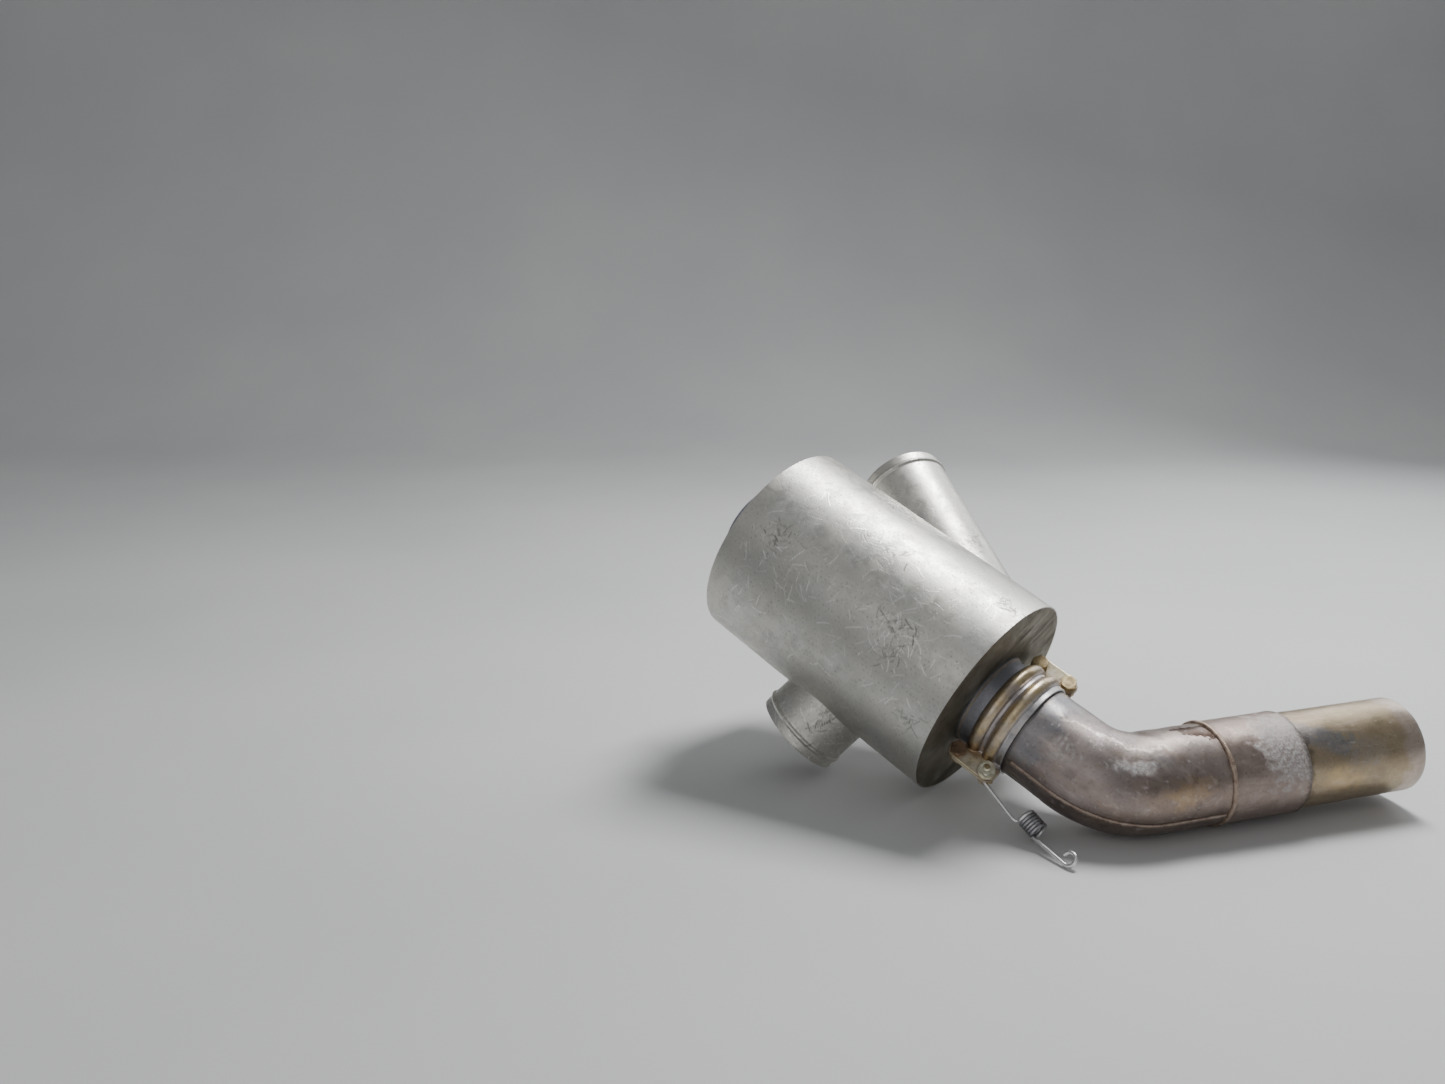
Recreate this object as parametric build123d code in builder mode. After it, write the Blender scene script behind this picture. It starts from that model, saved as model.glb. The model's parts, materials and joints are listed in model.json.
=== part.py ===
"""Exhaust muffler with a cabin-heat shroud, a two-bolt bead clamp, a bent tailpipe and a hook spring.

The part lies on the ground as it does off the engine: +Z is up, the ground is Z = 0, and the
muffler's axis runs down and forwards to its outlet. Everything round that axis is drawn in the
muffler's own frame: local X along the axis from the shroud's inlet rim, local Y towards the upper
bolt ears of the clamp, and local Z square to the clamp's split, on the side of the bolt heads.
"""

import os
from math import cos, radians, sin, tan

from build123d import *

os.makedirs("parts", exist_ok=True)

# ---- Driving dimensions, in millimetres and degrees ----

# How the muffler lies
INLET_RIM_CENTRE = (-178.9, 76.4, 148.02)
HEADING = -40.2
DIP = 24.2
ROLL = 34.4

# Exhaust tube: 2.5 inch outside, 18 gauge
PIPE_RADIUS = 31.75
PIPE_WALL = 1.2
BEAD_HEIGHT = 3.0
BEAD_WIDTH = 6.0

# Heat shroud: 5.75 inch outside, 7.5 inch long
SHROUD_RADIUS = 72.75
SHROUD_LENGTH = 190.5
SHROUD_WALL = 0.8

# Duct spuds on the shroud, for 2.5 inch hose
SPUD_RADIUS = 31.2
SPUD_WALL = 0.8
SPUD_BEAD_HEIGHT = 1.3
SPUD_BEAD_WIDTH = 4.0
SPUD_BEAD_SETBACK = 8.0
LOWER_SPUD_STATION = 95.3
LOWER_SPUD_TURN = 211.3
LOWER_SPUD_REACH = 99.4
LOWER_SPUD_LEAN = 12.5
LOWER_SPUD_LENGTH = 36.3
UPPER_SPUD_STATION = 28.1
UPPER_SPUD_TURN = -1.8
UPPER_SPUD_REACH = 102.0
UPPER_SPUD_SWEEP = 25.0
UPPER_SPUD_LENGTH = 165.0

# Inner muffler can
CAN_RADIUS = 62.5
CAN_WALL = 1.2
CAN_START = 17.0
CAN_END = SHROUD_LENGTH - 17.0
CONE_SKIRT = 7.0
CONE_NECK_RADIUS = PIPE_RADIUS + 0.1
CONE_NECK_LENGTH = 3.5
CONE_NECK_OVERHANG = 1.0
INLET_COLLAR_REACH = 24.0
COLLAR_DEPTH = 12.0
PERFORATED_RADIUS = PIPE_RADIUS - PIPE_WALL - 0.1
PERFORATED_WALL = 1.0
PERFORATION_RADIUS = 3.0
PERFORATION_RINGS = 9
PERFORATIONS_PER_RING = 12
BAFFLE_THICKNESS = 1.2
BAFFLE_STATIONS = (68.0, 122.5)
BAFFLE_HOLES = 8
BAFFLE_HOLE_RADIUS = 6.0

# Clips that hold the shroud off the can
CLIP_TURNS = (-15.0, 105.0, 225.0)
CLIP_WIDTH_ANGLE = 19.0
CLIP_THICKNESS = 1.0
CLIP_SETBACK = 5.0
CLIP_FOOT = 11.0
CLIP_RISE = 6.0
RIVET_RADIUS = 1.6
RIVET_HEAD_RADIUS = 2.7
RIVET_HEAD_HEIGHT = 1.2
RIVET_HEAD_GAP = 0.08
RIVET_CLEARANCE = 0.02
RIVET_LENGTH = CLIP_THICKNESS + SHROUD_WALL

# Bead clamp, in two halves, with 3/16 inch bolts
CLAMP_WALL = 1.6
CLAMP_START = SHROUD_LENGTH + 10.2
CLAMP_END = SHROUD_LENGTH + 36.0
CLAMP_CLEARANCE = 0.3
COLLAR_BEAD_STATION = SHROUD_LENGTH + 15.2
ELBOW_BEAD_STATION = SHROUD_LENGTH + 27.2
SPLIT_GAP = 0.6
EAR_MIDDLE = SHROUD_LENGTH + 20.7
EAR_BOLT_SPACING = 22.4
EAR_BOLT_OFFSET = 42.0
EAR_OVERHANG = 6.1
EAR_CORNER = 4.2
BOLT_RADIUS = 2.38
BOLT_HOLE_RADIUS = 2.5
HEAD_ACROSS_FLATS = 9.5
HEAD_HEIGHT = 3.2
HEAD_CHAMFER_ANGLE = 30.0
NUT_HEIGHT = 4.6
NUT_BORE_RADIUS = 2.42
BOLT_TIP = 1.6
WASHER_RADIUS = 5.5
WASHER_THICKNESS = 0.8

# Tailpipe
JOINT_GAP = 1.6
SPIGOT_LENGTH = 9.0
SPIGOT_RADIUS = PIPE_RADIUS - PIPE_WALL - 0.3
BEND_START = SHROUD_LENGTH + 67.5
BEND_RADIUS = 43.5
BEND_ANGLE = 60.3
BEND_TURN = -17.9
ELBOW_TANGENT = 42.7
SEAM_RADIUS = 1.7
SEAM_PROUD = 0.1
SEAM_START = SHROUD_LENGTH + 40.0
GIRTH_WELD_HALF_WIDTH = 1.6
GIRTH_WELD_CROWN = 33.4
SLEEVE_RADIUS = 32.5
SLEEVE_WALL = 1.6
SLEEVE_END = 98.7
TAIL_RADIUS = 30.75
TAIL_WALL = 1.2
TAIL_NECK = 0.35
TAIL_START = 60.0
TAIL_END = 187.3

# Hook spring, 2 mm wire; its points are in the muffler's frame
WIRE_RADIUS = 1.0
COIL_END_RADIUS = 1.3
SPRING_AXIAL_PLAY = 0.25
EYE_RADIUS = 3.75
EYE_ARC = 285.0
LEG_ANGLE = -15.0
LEG_LENGTH = 32.8
KNEE_BEND_RADIUS = 3.0
COIL_START = (SHROUD_LENGTH + 67.0, -47.6)
COIL_ANGLE = -9.8
COIL_RADIUS = 5.4
COIL_TURNS = 6
COIL_PITCH = 2.08
HOOK_LEG = (26.0, -5.3, 11.0)
HOOK_TURN = 25.0
HOOK_RADIUS = 4.2
HOOK_ARC = 262.0

# ---- Frames ----

axis_direction = Vector(1, 0, 0).rotate(Axis.Y, DIP).rotate(Axis.Z, HEADING)
bolt_direction = Vector(0, 0, 1).rotate(Axis.X, ROLL).rotate(Axis.Y, DIP).rotate(Axis.Z, HEADING)
muffler_plane = Plane(origin=INLET_RIM_CENTRE, x_dir=axis_direction, z_dir=bolt_direction)
muffler_axis = Axis(muffler_plane.origin, axis_direction)


def place(x, y=0.0, z=0.0):
    """A point given in the muffler's frame, in the part's frame."""
    return muffler_plane.from_local_coords(Vector(x, y, z))


def outward(turn):
    """The direction square to the muffler's axis at an angle from its local Y."""
    return muffler_plane.y_dir * cos(radians(turn)) + muffler_plane.z_dir * sin(radians(turn))


def station(x, turn=0.0):
    """The plane across the muffler's axis at x, with its own X at the given angle."""
    return Plane(place(x), x_dir=outward(turn), z_dir=axis_direction)


def lengthwise(turn=0.0):
    """The plane holding the muffler's axis: its X runs along the axis and its Y out at the angle."""
    return Plane(place(0), x_dir=axis_direction, z_dir=axis_direction.cross(outward(turn)))


def finish(part, name):
    """Labels a finished piece and writes it as its own file."""
    part.label = name
    export_step(part, f"parts/{name}.step")


# ---- Profiles shared by several tubes ----


def tube_outline(start, end, radius, wall, beads=()):
    """A tube's wall in a lengthwise plane, with a rolled bead at each station in beads."""
    x = start
    with BuildLine() as outline:
        for middle in beads:
            low = middle - BEAD_WIDTH / 2
            high = middle + BEAD_WIDTH / 2
            Line((x, radius), (low, radius))
            ThreePointArc((low, radius), (middle, radius + BEAD_HEIGHT), (high, radius))
            x = high
        Line((x, radius), (end, radius))
        offset(amount=wall, side=Side.RIGHT)
    return outline.line


def round_solid(x_low, x_high, radius):
    """A solid cylinder on the muffler's axis, used as a cutter."""
    with BuildPart() as cylinder:
        with BuildSketch(station(x_low)):
            Circle(radius)
        extrude(amount=x_high - x_low)
    return cylinder.part


# ---- Heat shroud and its duct spuds ----

lean = radians(LOWER_SPUD_LEAN)
lower_spud_direction = outward(LOWER_SPUD_TURN) * cos(lean) - axis_direction * sin(lean)
lower_spud_rim = place(LOWER_SPUD_STATION) + outward(LOWER_SPUD_TURN) * LOWER_SPUD_REACH
swept = radians(UPPER_SPUD_SWEEP)
upper_spud_direction = outward(UPPER_SPUD_TURN) * sin(swept) - axis_direction * cos(swept)
upper_spud_rim = place(UPPER_SPUD_STATION) + outward(UPPER_SPUD_TURN) * UPPER_SPUD_REACH
shroud_body = round_solid(-40.0, SHROUD_LENGTH + 40.0, SHROUD_RADIUS)


def spud_round(rim, direction, low, high, radius):
    """A solid of revolution on a spud's axis, with the hose bead, between two depths."""
    profile_plane = Plane(rim, x_dir=-direction, z_dir=direction.cross(outward(90.0)).normalized())
    bead_low = SPUD_BEAD_SETBACK - SPUD_BEAD_WIDTH / 2
    bead_high = SPUD_BEAD_SETBACK + SPUD_BEAD_WIDTH / 2
    with BuildPart() as solid:
        with BuildSketch(profile_plane):
            with BuildLine():
                Polyline((low, 0), (low, radius), (bead_low, radius))
                ThreePointArc(
                    (bead_low, radius),
                    (SPUD_BEAD_SETBACK, radius + SPUD_BEAD_HEIGHT),
                    (bead_high, radius),
                )
                Polyline((bead_high, radius), (high, radius), (high, 0), (low, 0))
            make_face()
        revolve(axis=Axis(rim, direction))
    return solid.part


def spud(rim, direction, length):
    """A duct spud: a thin tube with a hose bead, cut to sit on the shroud's outside."""
    with BuildPart() as tube:
        add(spud_round(rim, direction, 0.0, length, SPUD_RADIUS))
        add(shroud_body, mode=Mode.SUBTRACT)
        add(
            spud_round(rim, direction, -1.0, length + 1.0, SPUD_RADIUS - SPUD_WALL),
            mode=Mode.SUBTRACT,
        )
    return tube.part


def spud_bore(rim, direction, length):
    """The air way through a spud, cut out of the shroud under it."""
    with BuildPart() as bore:
        with BuildSketch(Plane(rim, z_dir=-direction)):
            Circle(SPUD_RADIUS - SPUD_WALL)
        extrude(amount=length)
    return bore.part


clip_top = SHROUD_RADIUS - SHROUD_WALL - 0.02
clip_bottom = CAN_RADIUS + 0.02


def rivet_plane(rim, inwards, turn):
    """The plane at the foot of a rivet, on the inside face of the clip's outer foot."""
    middle = place(rim + inwards * (CLIP_SETBACK + CLIP_FOOT / 2))
    foot = middle + outward(turn) * (clip_top - CLIP_THICKNESS)
    return Plane(foot, x_dir=axis_direction, z_dir=outward(turn))


with BuildPart() as shroud_shell:
    with BuildSketch(station(0)):
        Circle(SHROUD_RADIUS)
        Circle(SHROUD_RADIUS - SHROUD_WALL, mode=Mode.SUBTRACT)
    extrude(amount=SHROUD_LENGTH)
    add(spud_bore(lower_spud_rim, lower_spud_direction, LOWER_SPUD_LENGTH), mode=Mode.SUBTRACT)
    add(spud_bore(upper_spud_rim, upper_spud_direction, UPPER_SPUD_LENGTH), mode=Mode.SUBTRACT)
    for rim, inwards in ((0.0, 1), (SHROUD_LENGTH, -1)):
        for turn in CLIP_TURNS:
            with BuildSketch(rivet_plane(rim, inwards, turn)):
                Circle(RIVET_RADIUS)
            extrude(amount=2 * RIVET_LENGTH, mode=Mode.SUBTRACT)
finish(shroud_shell.part, "shroud_shell")

finish(spud(lower_spud_rim, lower_spud_direction, LOWER_SPUD_LENGTH), "lower_spud")
finish(spud(upper_spud_rim, upper_spud_direction, UPPER_SPUD_LENGTH), "upper_spud")

# ---- Muffler can: shell, end cones, collars and what is inside ----

with BuildPart() as can_shell:
    with BuildSketch(station(CAN_START)):
        Circle(CAN_RADIUS)
        Circle(CAN_RADIUS - CAN_WALL, mode=Mode.SUBTRACT)
    extrude(amount=CAN_END - CAN_START)
finish(can_shell.part, "can_shell")


def end_cone(edge, outwards, reach):
    """A spun end: a skirt inside the can's end, a rounded shoulder, a cone and a neck."""
    skirt_radius = CAN_RADIUS - CAN_WALL - 0.05
    neck_outside = CONE_NECK_RADIUS + CAN_WALL
    neck_end = reach + outwards * CONE_NECK_OVERHANG
    neck_start = neck_end - outwards * CONE_NECK_LENGTH
    shoulder = edge + outwards * 3.0
    with BuildPart() as cone:
        with BuildSketch(lengthwise()):
            with BuildLine():
                Line((edge - outwards * CONE_SKIRT, skirt_radius), (edge, skirt_radius))
                TangentArc(
                    (edge, skirt_radius), (shoulder, skirt_radius - 4.5), tangent=(outwards, 0)
                )
                Line((shoulder, skirt_radius - 4.5), (neck_start, neck_outside))
                Line((neck_start, neck_outside), (neck_end, neck_outside))
                offset(amount=CAN_WALL, side=Side.RIGHT if outwards > 0 else Side.LEFT)
            make_face()
        revolve(axis=muffler_axis)
    return cone.part


finish(end_cone(CAN_START, -1, 0.0), "inlet_cone")
finish(end_cone(CAN_END, 1, SHROUD_LENGTH), "outlet_cone")

with BuildPart() as inlet_collar:
    with BuildSketch(lengthwise()):
        add(
            tube_outline(
                -INLET_COLLAR_REACH,
                COLLAR_DEPTH,
                PIPE_RADIUS,
                PIPE_WALL,
                beads=(-INLET_COLLAR_REACH / 2 - 1.0,),
            )
        )
        make_face()
    revolve(axis=muffler_axis)
finish(inlet_collar.part, "inlet_collar")

collar_end = (COLLAR_BEAD_STATION + ELBOW_BEAD_STATION - JOINT_GAP) / 2
with BuildPart() as outlet_collar:
    with BuildSketch(lengthwise()):
        add(
            tube_outline(
                SHROUD_LENGTH - COLLAR_DEPTH,
                collar_end,
                PIPE_RADIUS,
                PIPE_WALL,
                beads=(COLLAR_BEAD_STATION,),
            )
        )
        make_face()
    revolve(axis=muffler_axis)
finish(outlet_collar.part, "outlet_collar")

with BuildPart() as collar_welds:
    with BuildSketch(lengthwise()):
        for edge, side in ((-CONE_NECK_OVERHANG, -1), (SHROUD_LENGTH + CONE_NECK_OVERHANG, 1)):
            with BuildLine():
                top = CONE_NECK_RADIUS + CAN_WALL
                Line((edge, PIPE_RADIUS), (edge, top))
                Line((edge, top), (edge + side * 1.4, PIPE_RADIUS))
                Line((edge + side * 1.4, PIPE_RADIUS), (edge, PIPE_RADIUS))
            make_face()
    revolve(axis=muffler_axis)
finish(collar_welds.part, "collar_welds")

perforated_start = 3.0
perforated_end = SHROUD_LENGTH - 3.0
ring_pitch = (CAN_END - CAN_START - 30.0) / (PERFORATION_RINGS - 1)
with BuildPart() as perforated_tube:
    with BuildSketch(station(perforated_start)):
        Circle(PERFORATED_RADIUS)
        Circle(PERFORATED_RADIUS - PERFORATED_WALL, mode=Mode.SUBTRACT)
    extrude(amount=perforated_end - perforated_start)
    for ring in range(PERFORATION_RINGS):
        x = CAN_START + 15.0 + ring * ring_pitch
        for hole in range(PERFORATIONS_PER_RING):
            turn = (hole + 0.5 * (ring % 2)) * 360.0 / PERFORATIONS_PER_RING
            with BuildSketch(Plane(place(x), x_dir=axis_direction, z_dir=outward(turn))):
                Circle(PERFORATION_RADIUS)
            extrude(amount=PERFORATED_RADIUS + 2.0, mode=Mode.SUBTRACT)
finish(perforated_tube.part, "perforated_tube")

baffle_names = ("inlet_baffle", "outlet_baffle")
for name, x in zip(baffle_names, BAFFLE_STATIONS):
    with BuildPart() as baffle:
        with BuildSketch(station(x)):
            Circle(CAN_RADIUS - CAN_WALL - 0.05)
            Circle(PERFORATED_RADIUS + 0.05, mode=Mode.SUBTRACT)
            with PolarLocations((PERFORATED_RADIUS + CAN_RADIUS) / 2, BAFFLE_HOLES):
                Circle(BAFFLE_HOLE_RADIUS, mode=Mode.SUBTRACT)
        extrude(amount=BAFFLE_THICKNESS)
    finish(baffle.part, name)

# ---- Standoff clips between can and shroud ----

def clip_outline(rim, inwards):
    """A bent strap in a lengthwise plane: a foot on the can, a riser and a foot on the shroud."""
    outer_foot = rim + inwards * CLIP_SETBACK
    riser_top = outer_foot + inwards * CLIP_FOOT
    riser_foot = riser_top + inwards * CLIP_RISE
    inner_foot = riser_foot + inwards * CLIP_FOOT
    with BuildLine() as outline:
        Polyline(
            (outer_foot, clip_top),
            (riser_top, clip_top),
            (riser_foot, clip_bottom + CLIP_THICKNESS),
            (inner_foot, clip_bottom + CLIP_THICKNESS),
        )
        offset(amount=CLIP_THICKNESS, side=Side.LEFT if inwards < 0 else Side.RIGHT)
    return outline.line


def clip_set(rim, inwards):
    """Three clips round one end of the shroud."""
    with BuildPart() as clips:
        for turn in CLIP_TURNS:
            with BuildSketch(lengthwise(turn - CLIP_WIDTH_ANGLE / 2)):
                add(clip_outline(rim, inwards))
                make_face()
            revolve(axis=muffler_axis, revolution_arc=CLIP_WIDTH_ANGLE)
            with BuildSketch(rivet_plane(rim, inwards, turn).offset(-CLIP_THICKNESS)):
                Circle(RIVET_RADIUS)
            extrude(amount=3 * CLIP_THICKNESS, mode=Mode.SUBTRACT)
    return clips.part


def rivet_set(rim, inwards):
    """Rivets with a domed head inside and a flush end in the shroud."""
    with BuildPart() as rivets:
        for turn in CLIP_TURNS:
            head_plane = rivet_plane(rim, inwards, turn)
            with BuildSketch(head_plane.offset(-RIVET_HEAD_GAP)):
                Circle(RIVET_RADIUS - RIVET_CLEARANCE)
            extrude(amount=RIVET_LENGTH + RIVET_HEAD_GAP)
            with BuildSketch(
                Plane(head_plane.origin, x_dir=head_plane.x_dir, z_dir=head_plane.y_dir)
            ):
                with BuildLine():
                    Line((0, RIVET_HEAD_GAP), (0, RIVET_HEAD_HEIGHT))
                    TangentArc(
                        (0, RIVET_HEAD_HEIGHT), (RIVET_HEAD_RADIUS, RIVET_HEAD_GAP), tangent=(1, 0)
                    )
                    Line((RIVET_HEAD_RADIUS, RIVET_HEAD_GAP), (0, RIVET_HEAD_GAP))
                make_face()
            revolve(axis=Axis(head_plane.origin, head_plane.z_dir))
    return rivets.part


finish(clip_set(0.0, 1), "inlet_standoff_clips")
finish(clip_set(SHROUD_LENGTH, -1), "outlet_standoff_clips")
finish(rivet_set(0.0, 1), "inlet_clip_rivets")
finish(rivet_set(SHROUD_LENGTH, -1), "outlet_clip_rivets")

# ---- Bead clamp ----

clamp_inside = PIPE_RADIUS + CLAMP_CLEARANCE
clamp_bead_half = BEAD_WIDTH / 2 + CLAMP_CLEARANCE + 0.2
clamp_bead_rise = BEAD_HEIGHT + CLAMP_CLEARANCE
ear_inner_line = PIPE_RADIUS
ear_left_bolt = EAR_MIDDLE - EAR_BOLT_SPACING / 2
ear_right_bolt = EAR_MIDDLE + EAR_BOLT_SPACING / 2
ear_outer_line = EAR_BOLT_OFFSET + EAR_OVERHANG
ear_right_edge = ear_right_bolt + EAR_OVERHANG


def clamp_inner_line():
    """The clamp's inside along the axis: lips, a valley and a groove over each pipe bead."""
    x = CLAMP_START
    for middle in (COLLAR_BEAD_STATION, ELBOW_BEAD_STATION):
        low = middle - clamp_bead_half
        high = middle + clamp_bead_half
        Line((x, clamp_inside), (low, clamp_inside))
        ThreePointArc(
            (low, clamp_inside), (middle, clamp_inside + clamp_bead_rise), (high, clamp_inside)
        )
        x = high
    Line((x, clamp_inside), (CLAMP_END, clamp_inside))


with BuildPart() as clamp_cavity:
    with BuildSketch(lengthwise()):
        with BuildLine():
            clamp_inner_line()
            Polyline(
                (CLAMP_END, clamp_inside),
                (CLAMP_END + 10, clamp_inside),
                (CLAMP_END + 10, 0),
                (CLAMP_START - 10, 0),
                (CLAMP_START - 10, clamp_inside),
                (CLAMP_START, clamp_inside),
            )
        make_face()
    revolve(axis=muffler_axis)


def clamp_half(side):
    """One pressed half: the beaded half ring and its two flat ears, side +1 front or -1 rear."""
    ear_plane = Plane(
        place(0, 0, side * SPLIT_GAP), x_dir=axis_direction, z_dir=muffler_plane.z_dir * side
    )
    with BuildPart() as half:
        with BuildSketch(lengthwise()):
            with BuildLine():
                clamp_inner_line()
                offset(amount=CLAMP_WALL, side=Side.LEFT)
            make_face()
        revolve(axis=muffler_axis)
        split(bisect_by=ear_plane, keep=Keep.TOP)
        with BuildSketch(ear_plane):
            for end in (1, -1):
                with BuildLine():
                    Polyline(
                        (ear_left_bolt, end * ear_outer_line),
                        (ear_right_edge - EAR_CORNER, end * ear_outer_line),
                        (ear_right_edge, end * (ear_outer_line - EAR_CORNER)),
                        (ear_right_edge, end * (clamp_inside + EAR_CORNER)),
                        (CLAMP_END, end * (clamp_inside + 1.0)),
                        (CLAMP_END, end * ear_inner_line),
                        (CLAMP_START, end * ear_inner_line),
                        (CLAMP_START, end * (EAR_BOLT_OFFSET - EAR_OVERHANG)),
                        (ear_left_bolt, end * (EAR_BOLT_OFFSET - EAR_OVERHANG)),
                        close=True,
                    )
                make_face()
                with Locations((ear_left_bolt, end * EAR_BOLT_OFFSET)):
                    Circle(EAR_OVERHANG)
                with Locations(
                    (ear_left_bolt, end * EAR_BOLT_OFFSET), (ear_right_bolt, end * EAR_BOLT_OFFSET)
                ):
                    Circle(BOLT_HOLE_RADIUS, mode=Mode.SUBTRACT)
        extrude(amount=CLAMP_WALL)
        add(clamp_cavity.part, mode=Mode.SUBTRACT)
    return half.part


finish(clamp_half(1), "clamp_half_front")
finish(clamp_half(-1), "clamp_half_rear")

# ---- Clamp fasteners ----

ear_face = SPLIT_GAP + CLAMP_WALL
spring_bolt_spot = (ear_right_bolt, -EAR_BOLT_OFFSET)
clamp_bolt_spots = (
    (ear_left_bolt, EAR_BOLT_OFFSET),
    (ear_right_bolt, EAR_BOLT_OFFSET),
    (ear_left_bolt, -EAR_BOLT_OFFSET),
)
eye_space = 2 * (WIRE_RADIUS + SPRING_AXIAL_PLAY)


def fastener_plane(spot, height, side):
    """The plane square to the bolts at a height over the clamp's split, facing out on one side."""
    return Plane(
        place(spot[0], spot[1], side * height),
        x_dir=axis_direction,
        z_dir=muffler_plane.z_dir * side,
    )


def hexagon(height, thickness, spot, side, bore=0.0):
    """A hexagon prism with its outer corners turned down, and a bore if it is a nut."""
    base = fastener_plane(spot, height, side)
    flat = HEAD_ACROSS_FLATS / 2
    with BuildPart() as prism:
        with BuildSketch(base):
            RegularPolygon(flat, 6, major_radius=False)
            if bore:
                Circle(bore, mode=Mode.SUBTRACT)
        extrude(amount=thickness)
        with Locations(base.location):
            Cone(
                flat + thickness / tan(radians(HEAD_CHAMFER_ANGLE)),
                flat,
                thickness,
                align=(Align.CENTER, Align.CENTER, Align.MIN),
                mode=Mode.INTERSECT,
            )
    return prism.part


def bolt(spot, head_side, head_base, tip):
    """A hexagon-head bolt: the head stands on head_base and the shank ends at tip, other side."""
    with BuildPart() as piece:
        add(hexagon(head_base, HEAD_HEIGHT, spot, head_side))
        with BuildSketch(fastener_plane(spot, -tip, head_side)):
            Circle(BOLT_RADIUS)
        extrude(amount=tip + head_base)
    return piece.part


def washer(spot, side):
    """A plain washer on the face of an ear."""
    with BuildPart() as ring:
        with BuildSketch(fastener_plane(spot, ear_face, side)):
            Circle(WASHER_RADIUS)
            Circle(BOLT_HOLE_RADIUS, mode=Mode.SUBTRACT)
        extrude(amount=WASHER_THICKNESS)
    return ring.part


def nut(spot, side):
    """A hexagon nut on its washer."""
    return hexagon(ear_face + WASHER_THICKNESS, NUT_HEIGHT, spot, side, bore=NUT_BORE_RADIUS)


bolt_tip = ear_face + WASHER_THICKNESS + NUT_HEIGHT + BOLT_TIP

with BuildPart() as clamp_bolts:
    for spot in clamp_bolt_spots:
        add(bolt(spot, 1, ear_face, bolt_tip))
finish(clamp_bolts.part, "clamp_bolts")

with BuildPart() as clamp_washers:
    for spot in clamp_bolt_spots:
        add(washer(spot, -1))
finish(clamp_washers.part, "clamp_washers")

with BuildPart() as clamp_nuts:
    for spot in clamp_bolt_spots:
        add(nut(spot, -1))
finish(clamp_nuts.part, "clamp_nuts")

finish(bolt(spring_bolt_spot, -1, ear_face + eye_space, bolt_tip), "spring_bolt")
finish(washer(spring_bolt_spot, 1), "spring_bolt_washer")
finish(nut(spring_bolt_spot, 1), "spring_bolt_nut")

# ---- Tailpipe: a pressed elbow in two halves, a sleeve and a tail tube ----

bend_direction = outward(BEND_TURN)
bend_normal = axis_direction.cross(bend_direction)
bend_start = place(BEND_START)
bend_axis = Axis(bend_start + bend_direction * BEND_RADIUS, bend_normal)
bend = radians(BEND_ANGLE)
tail_direction = axis_direction * cos(bend) + bend_direction * sin(bend)
bend_end = (
    bend_start
    + axis_direction * (BEND_RADIUS * sin(bend))
    + bend_direction * (BEND_RADIUS * (1 - cos(bend)))
)
spigot_start = collar_end - SPIGOT_LENGTH
elbow_start = collar_end + JOINT_GAP
tail_inside = bend_normal.cross(tail_direction)


def tail_plane(distance):
    """The plane across the tail's axis at a distance past the bend."""
    return Plane(bend_end + tail_direction * distance, x_dir=bend_normal, z_dir=tail_direction)


def follow_pipe(start, tangent, profile):
    """A profile drawn across the pipe, carried along it, round the bend and a tangent past it.

    The profile draws in the open sketch: its X points to the inside of the bend, and its Y to the
    upper side of the bend's plane.
    """
    with BuildPart() as run:
        with BuildSketch(station(start, BEND_TURN)):
            profile()
        extrude(amount=BEND_START - start)
        with BuildSketch(station(BEND_START, BEND_TURN)):
            profile()
        revolve(axis=bend_axis, revolution_arc=BEND_ANGLE)
        with BuildSketch(Plane(bend_end, x_dir=tail_inside, z_dir=tail_direction)):
            profile()
        extrude(amount=tangent)
    return run.part


def seam_rounds():
    """The two seam welds, on the inside and the outside of the bend."""
    with Locations((PIPE_RADIUS + SEAM_PROUD, 0), (-PIPE_RADIUS - SEAM_PROUD, 0)):
        Circle(SEAM_RADIUS)


def half_ring(kept_side):
    """Half of the pipe's wall, on one side of the bend's plane."""
    Circle(PIPE_RADIUS)
    Circle(PIPE_RADIUS - PIPE_WALL, mode=Mode.SUBTRACT)
    Rectangle(
        4 * PIPE_RADIUS, 2 * PIPE_RADIUS, align=(Align.CENTER, kept_side), mode=Mode.INTERSECT
    )


def upper_half_ring():
    """The half on the upper side."""
    half_ring(Align.MIN)


def lower_half_ring():
    """The half on the lower side."""
    half_ring(Align.MAX)


elbow_seams = follow_pipe(SEAM_START, ELBOW_TANGENT - GIRTH_WELD_HALF_WIDTH, seam_rounds)


def elbow_half(first_turn, ring):
    """One pressed half of the elbow, from its spigot and bead to the girth weld."""
    bead_low = ELBOW_BEAD_STATION - BEAD_WIDTH / 2
    bead_high = ELBOW_BEAD_STATION + BEAD_WIDTH / 2
    with BuildPart() as half:
        with BuildSketch(lengthwise(first_turn)):
            with BuildLine():
                Polyline(
                    (spigot_start, SPIGOT_RADIUS),
                    (collar_end, SPIGOT_RADIUS),
                    (elbow_start, PIPE_RADIUS),
                    (bead_low, PIPE_RADIUS),
                )
                ThreePointArc(
                    (bead_low, PIPE_RADIUS),
                    (ELBOW_BEAD_STATION, PIPE_RADIUS + BEAD_HEIGHT),
                    (bead_high, PIPE_RADIUS),
                )
                Line((bead_high, PIPE_RADIUS), (SEAM_START, PIPE_RADIUS))
                offset(amount=PIPE_WALL, side=Side.RIGHT)
            make_face()
        revolve(axis=muffler_axis, revolution_arc=180)
        add(follow_pipe(SEAM_START, ELBOW_TANGENT, ring))
        add(elbow_seams, mode=Mode.SUBTRACT)
    return half.part


finish(elbow_half(BEND_TURN, upper_half_ring), "elbow_half_upper")
finish(elbow_half(BEND_TURN + 180, lower_half_ring), "elbow_half_lower")
finish(elbow_seams, "elbow_seam_welds")


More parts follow.
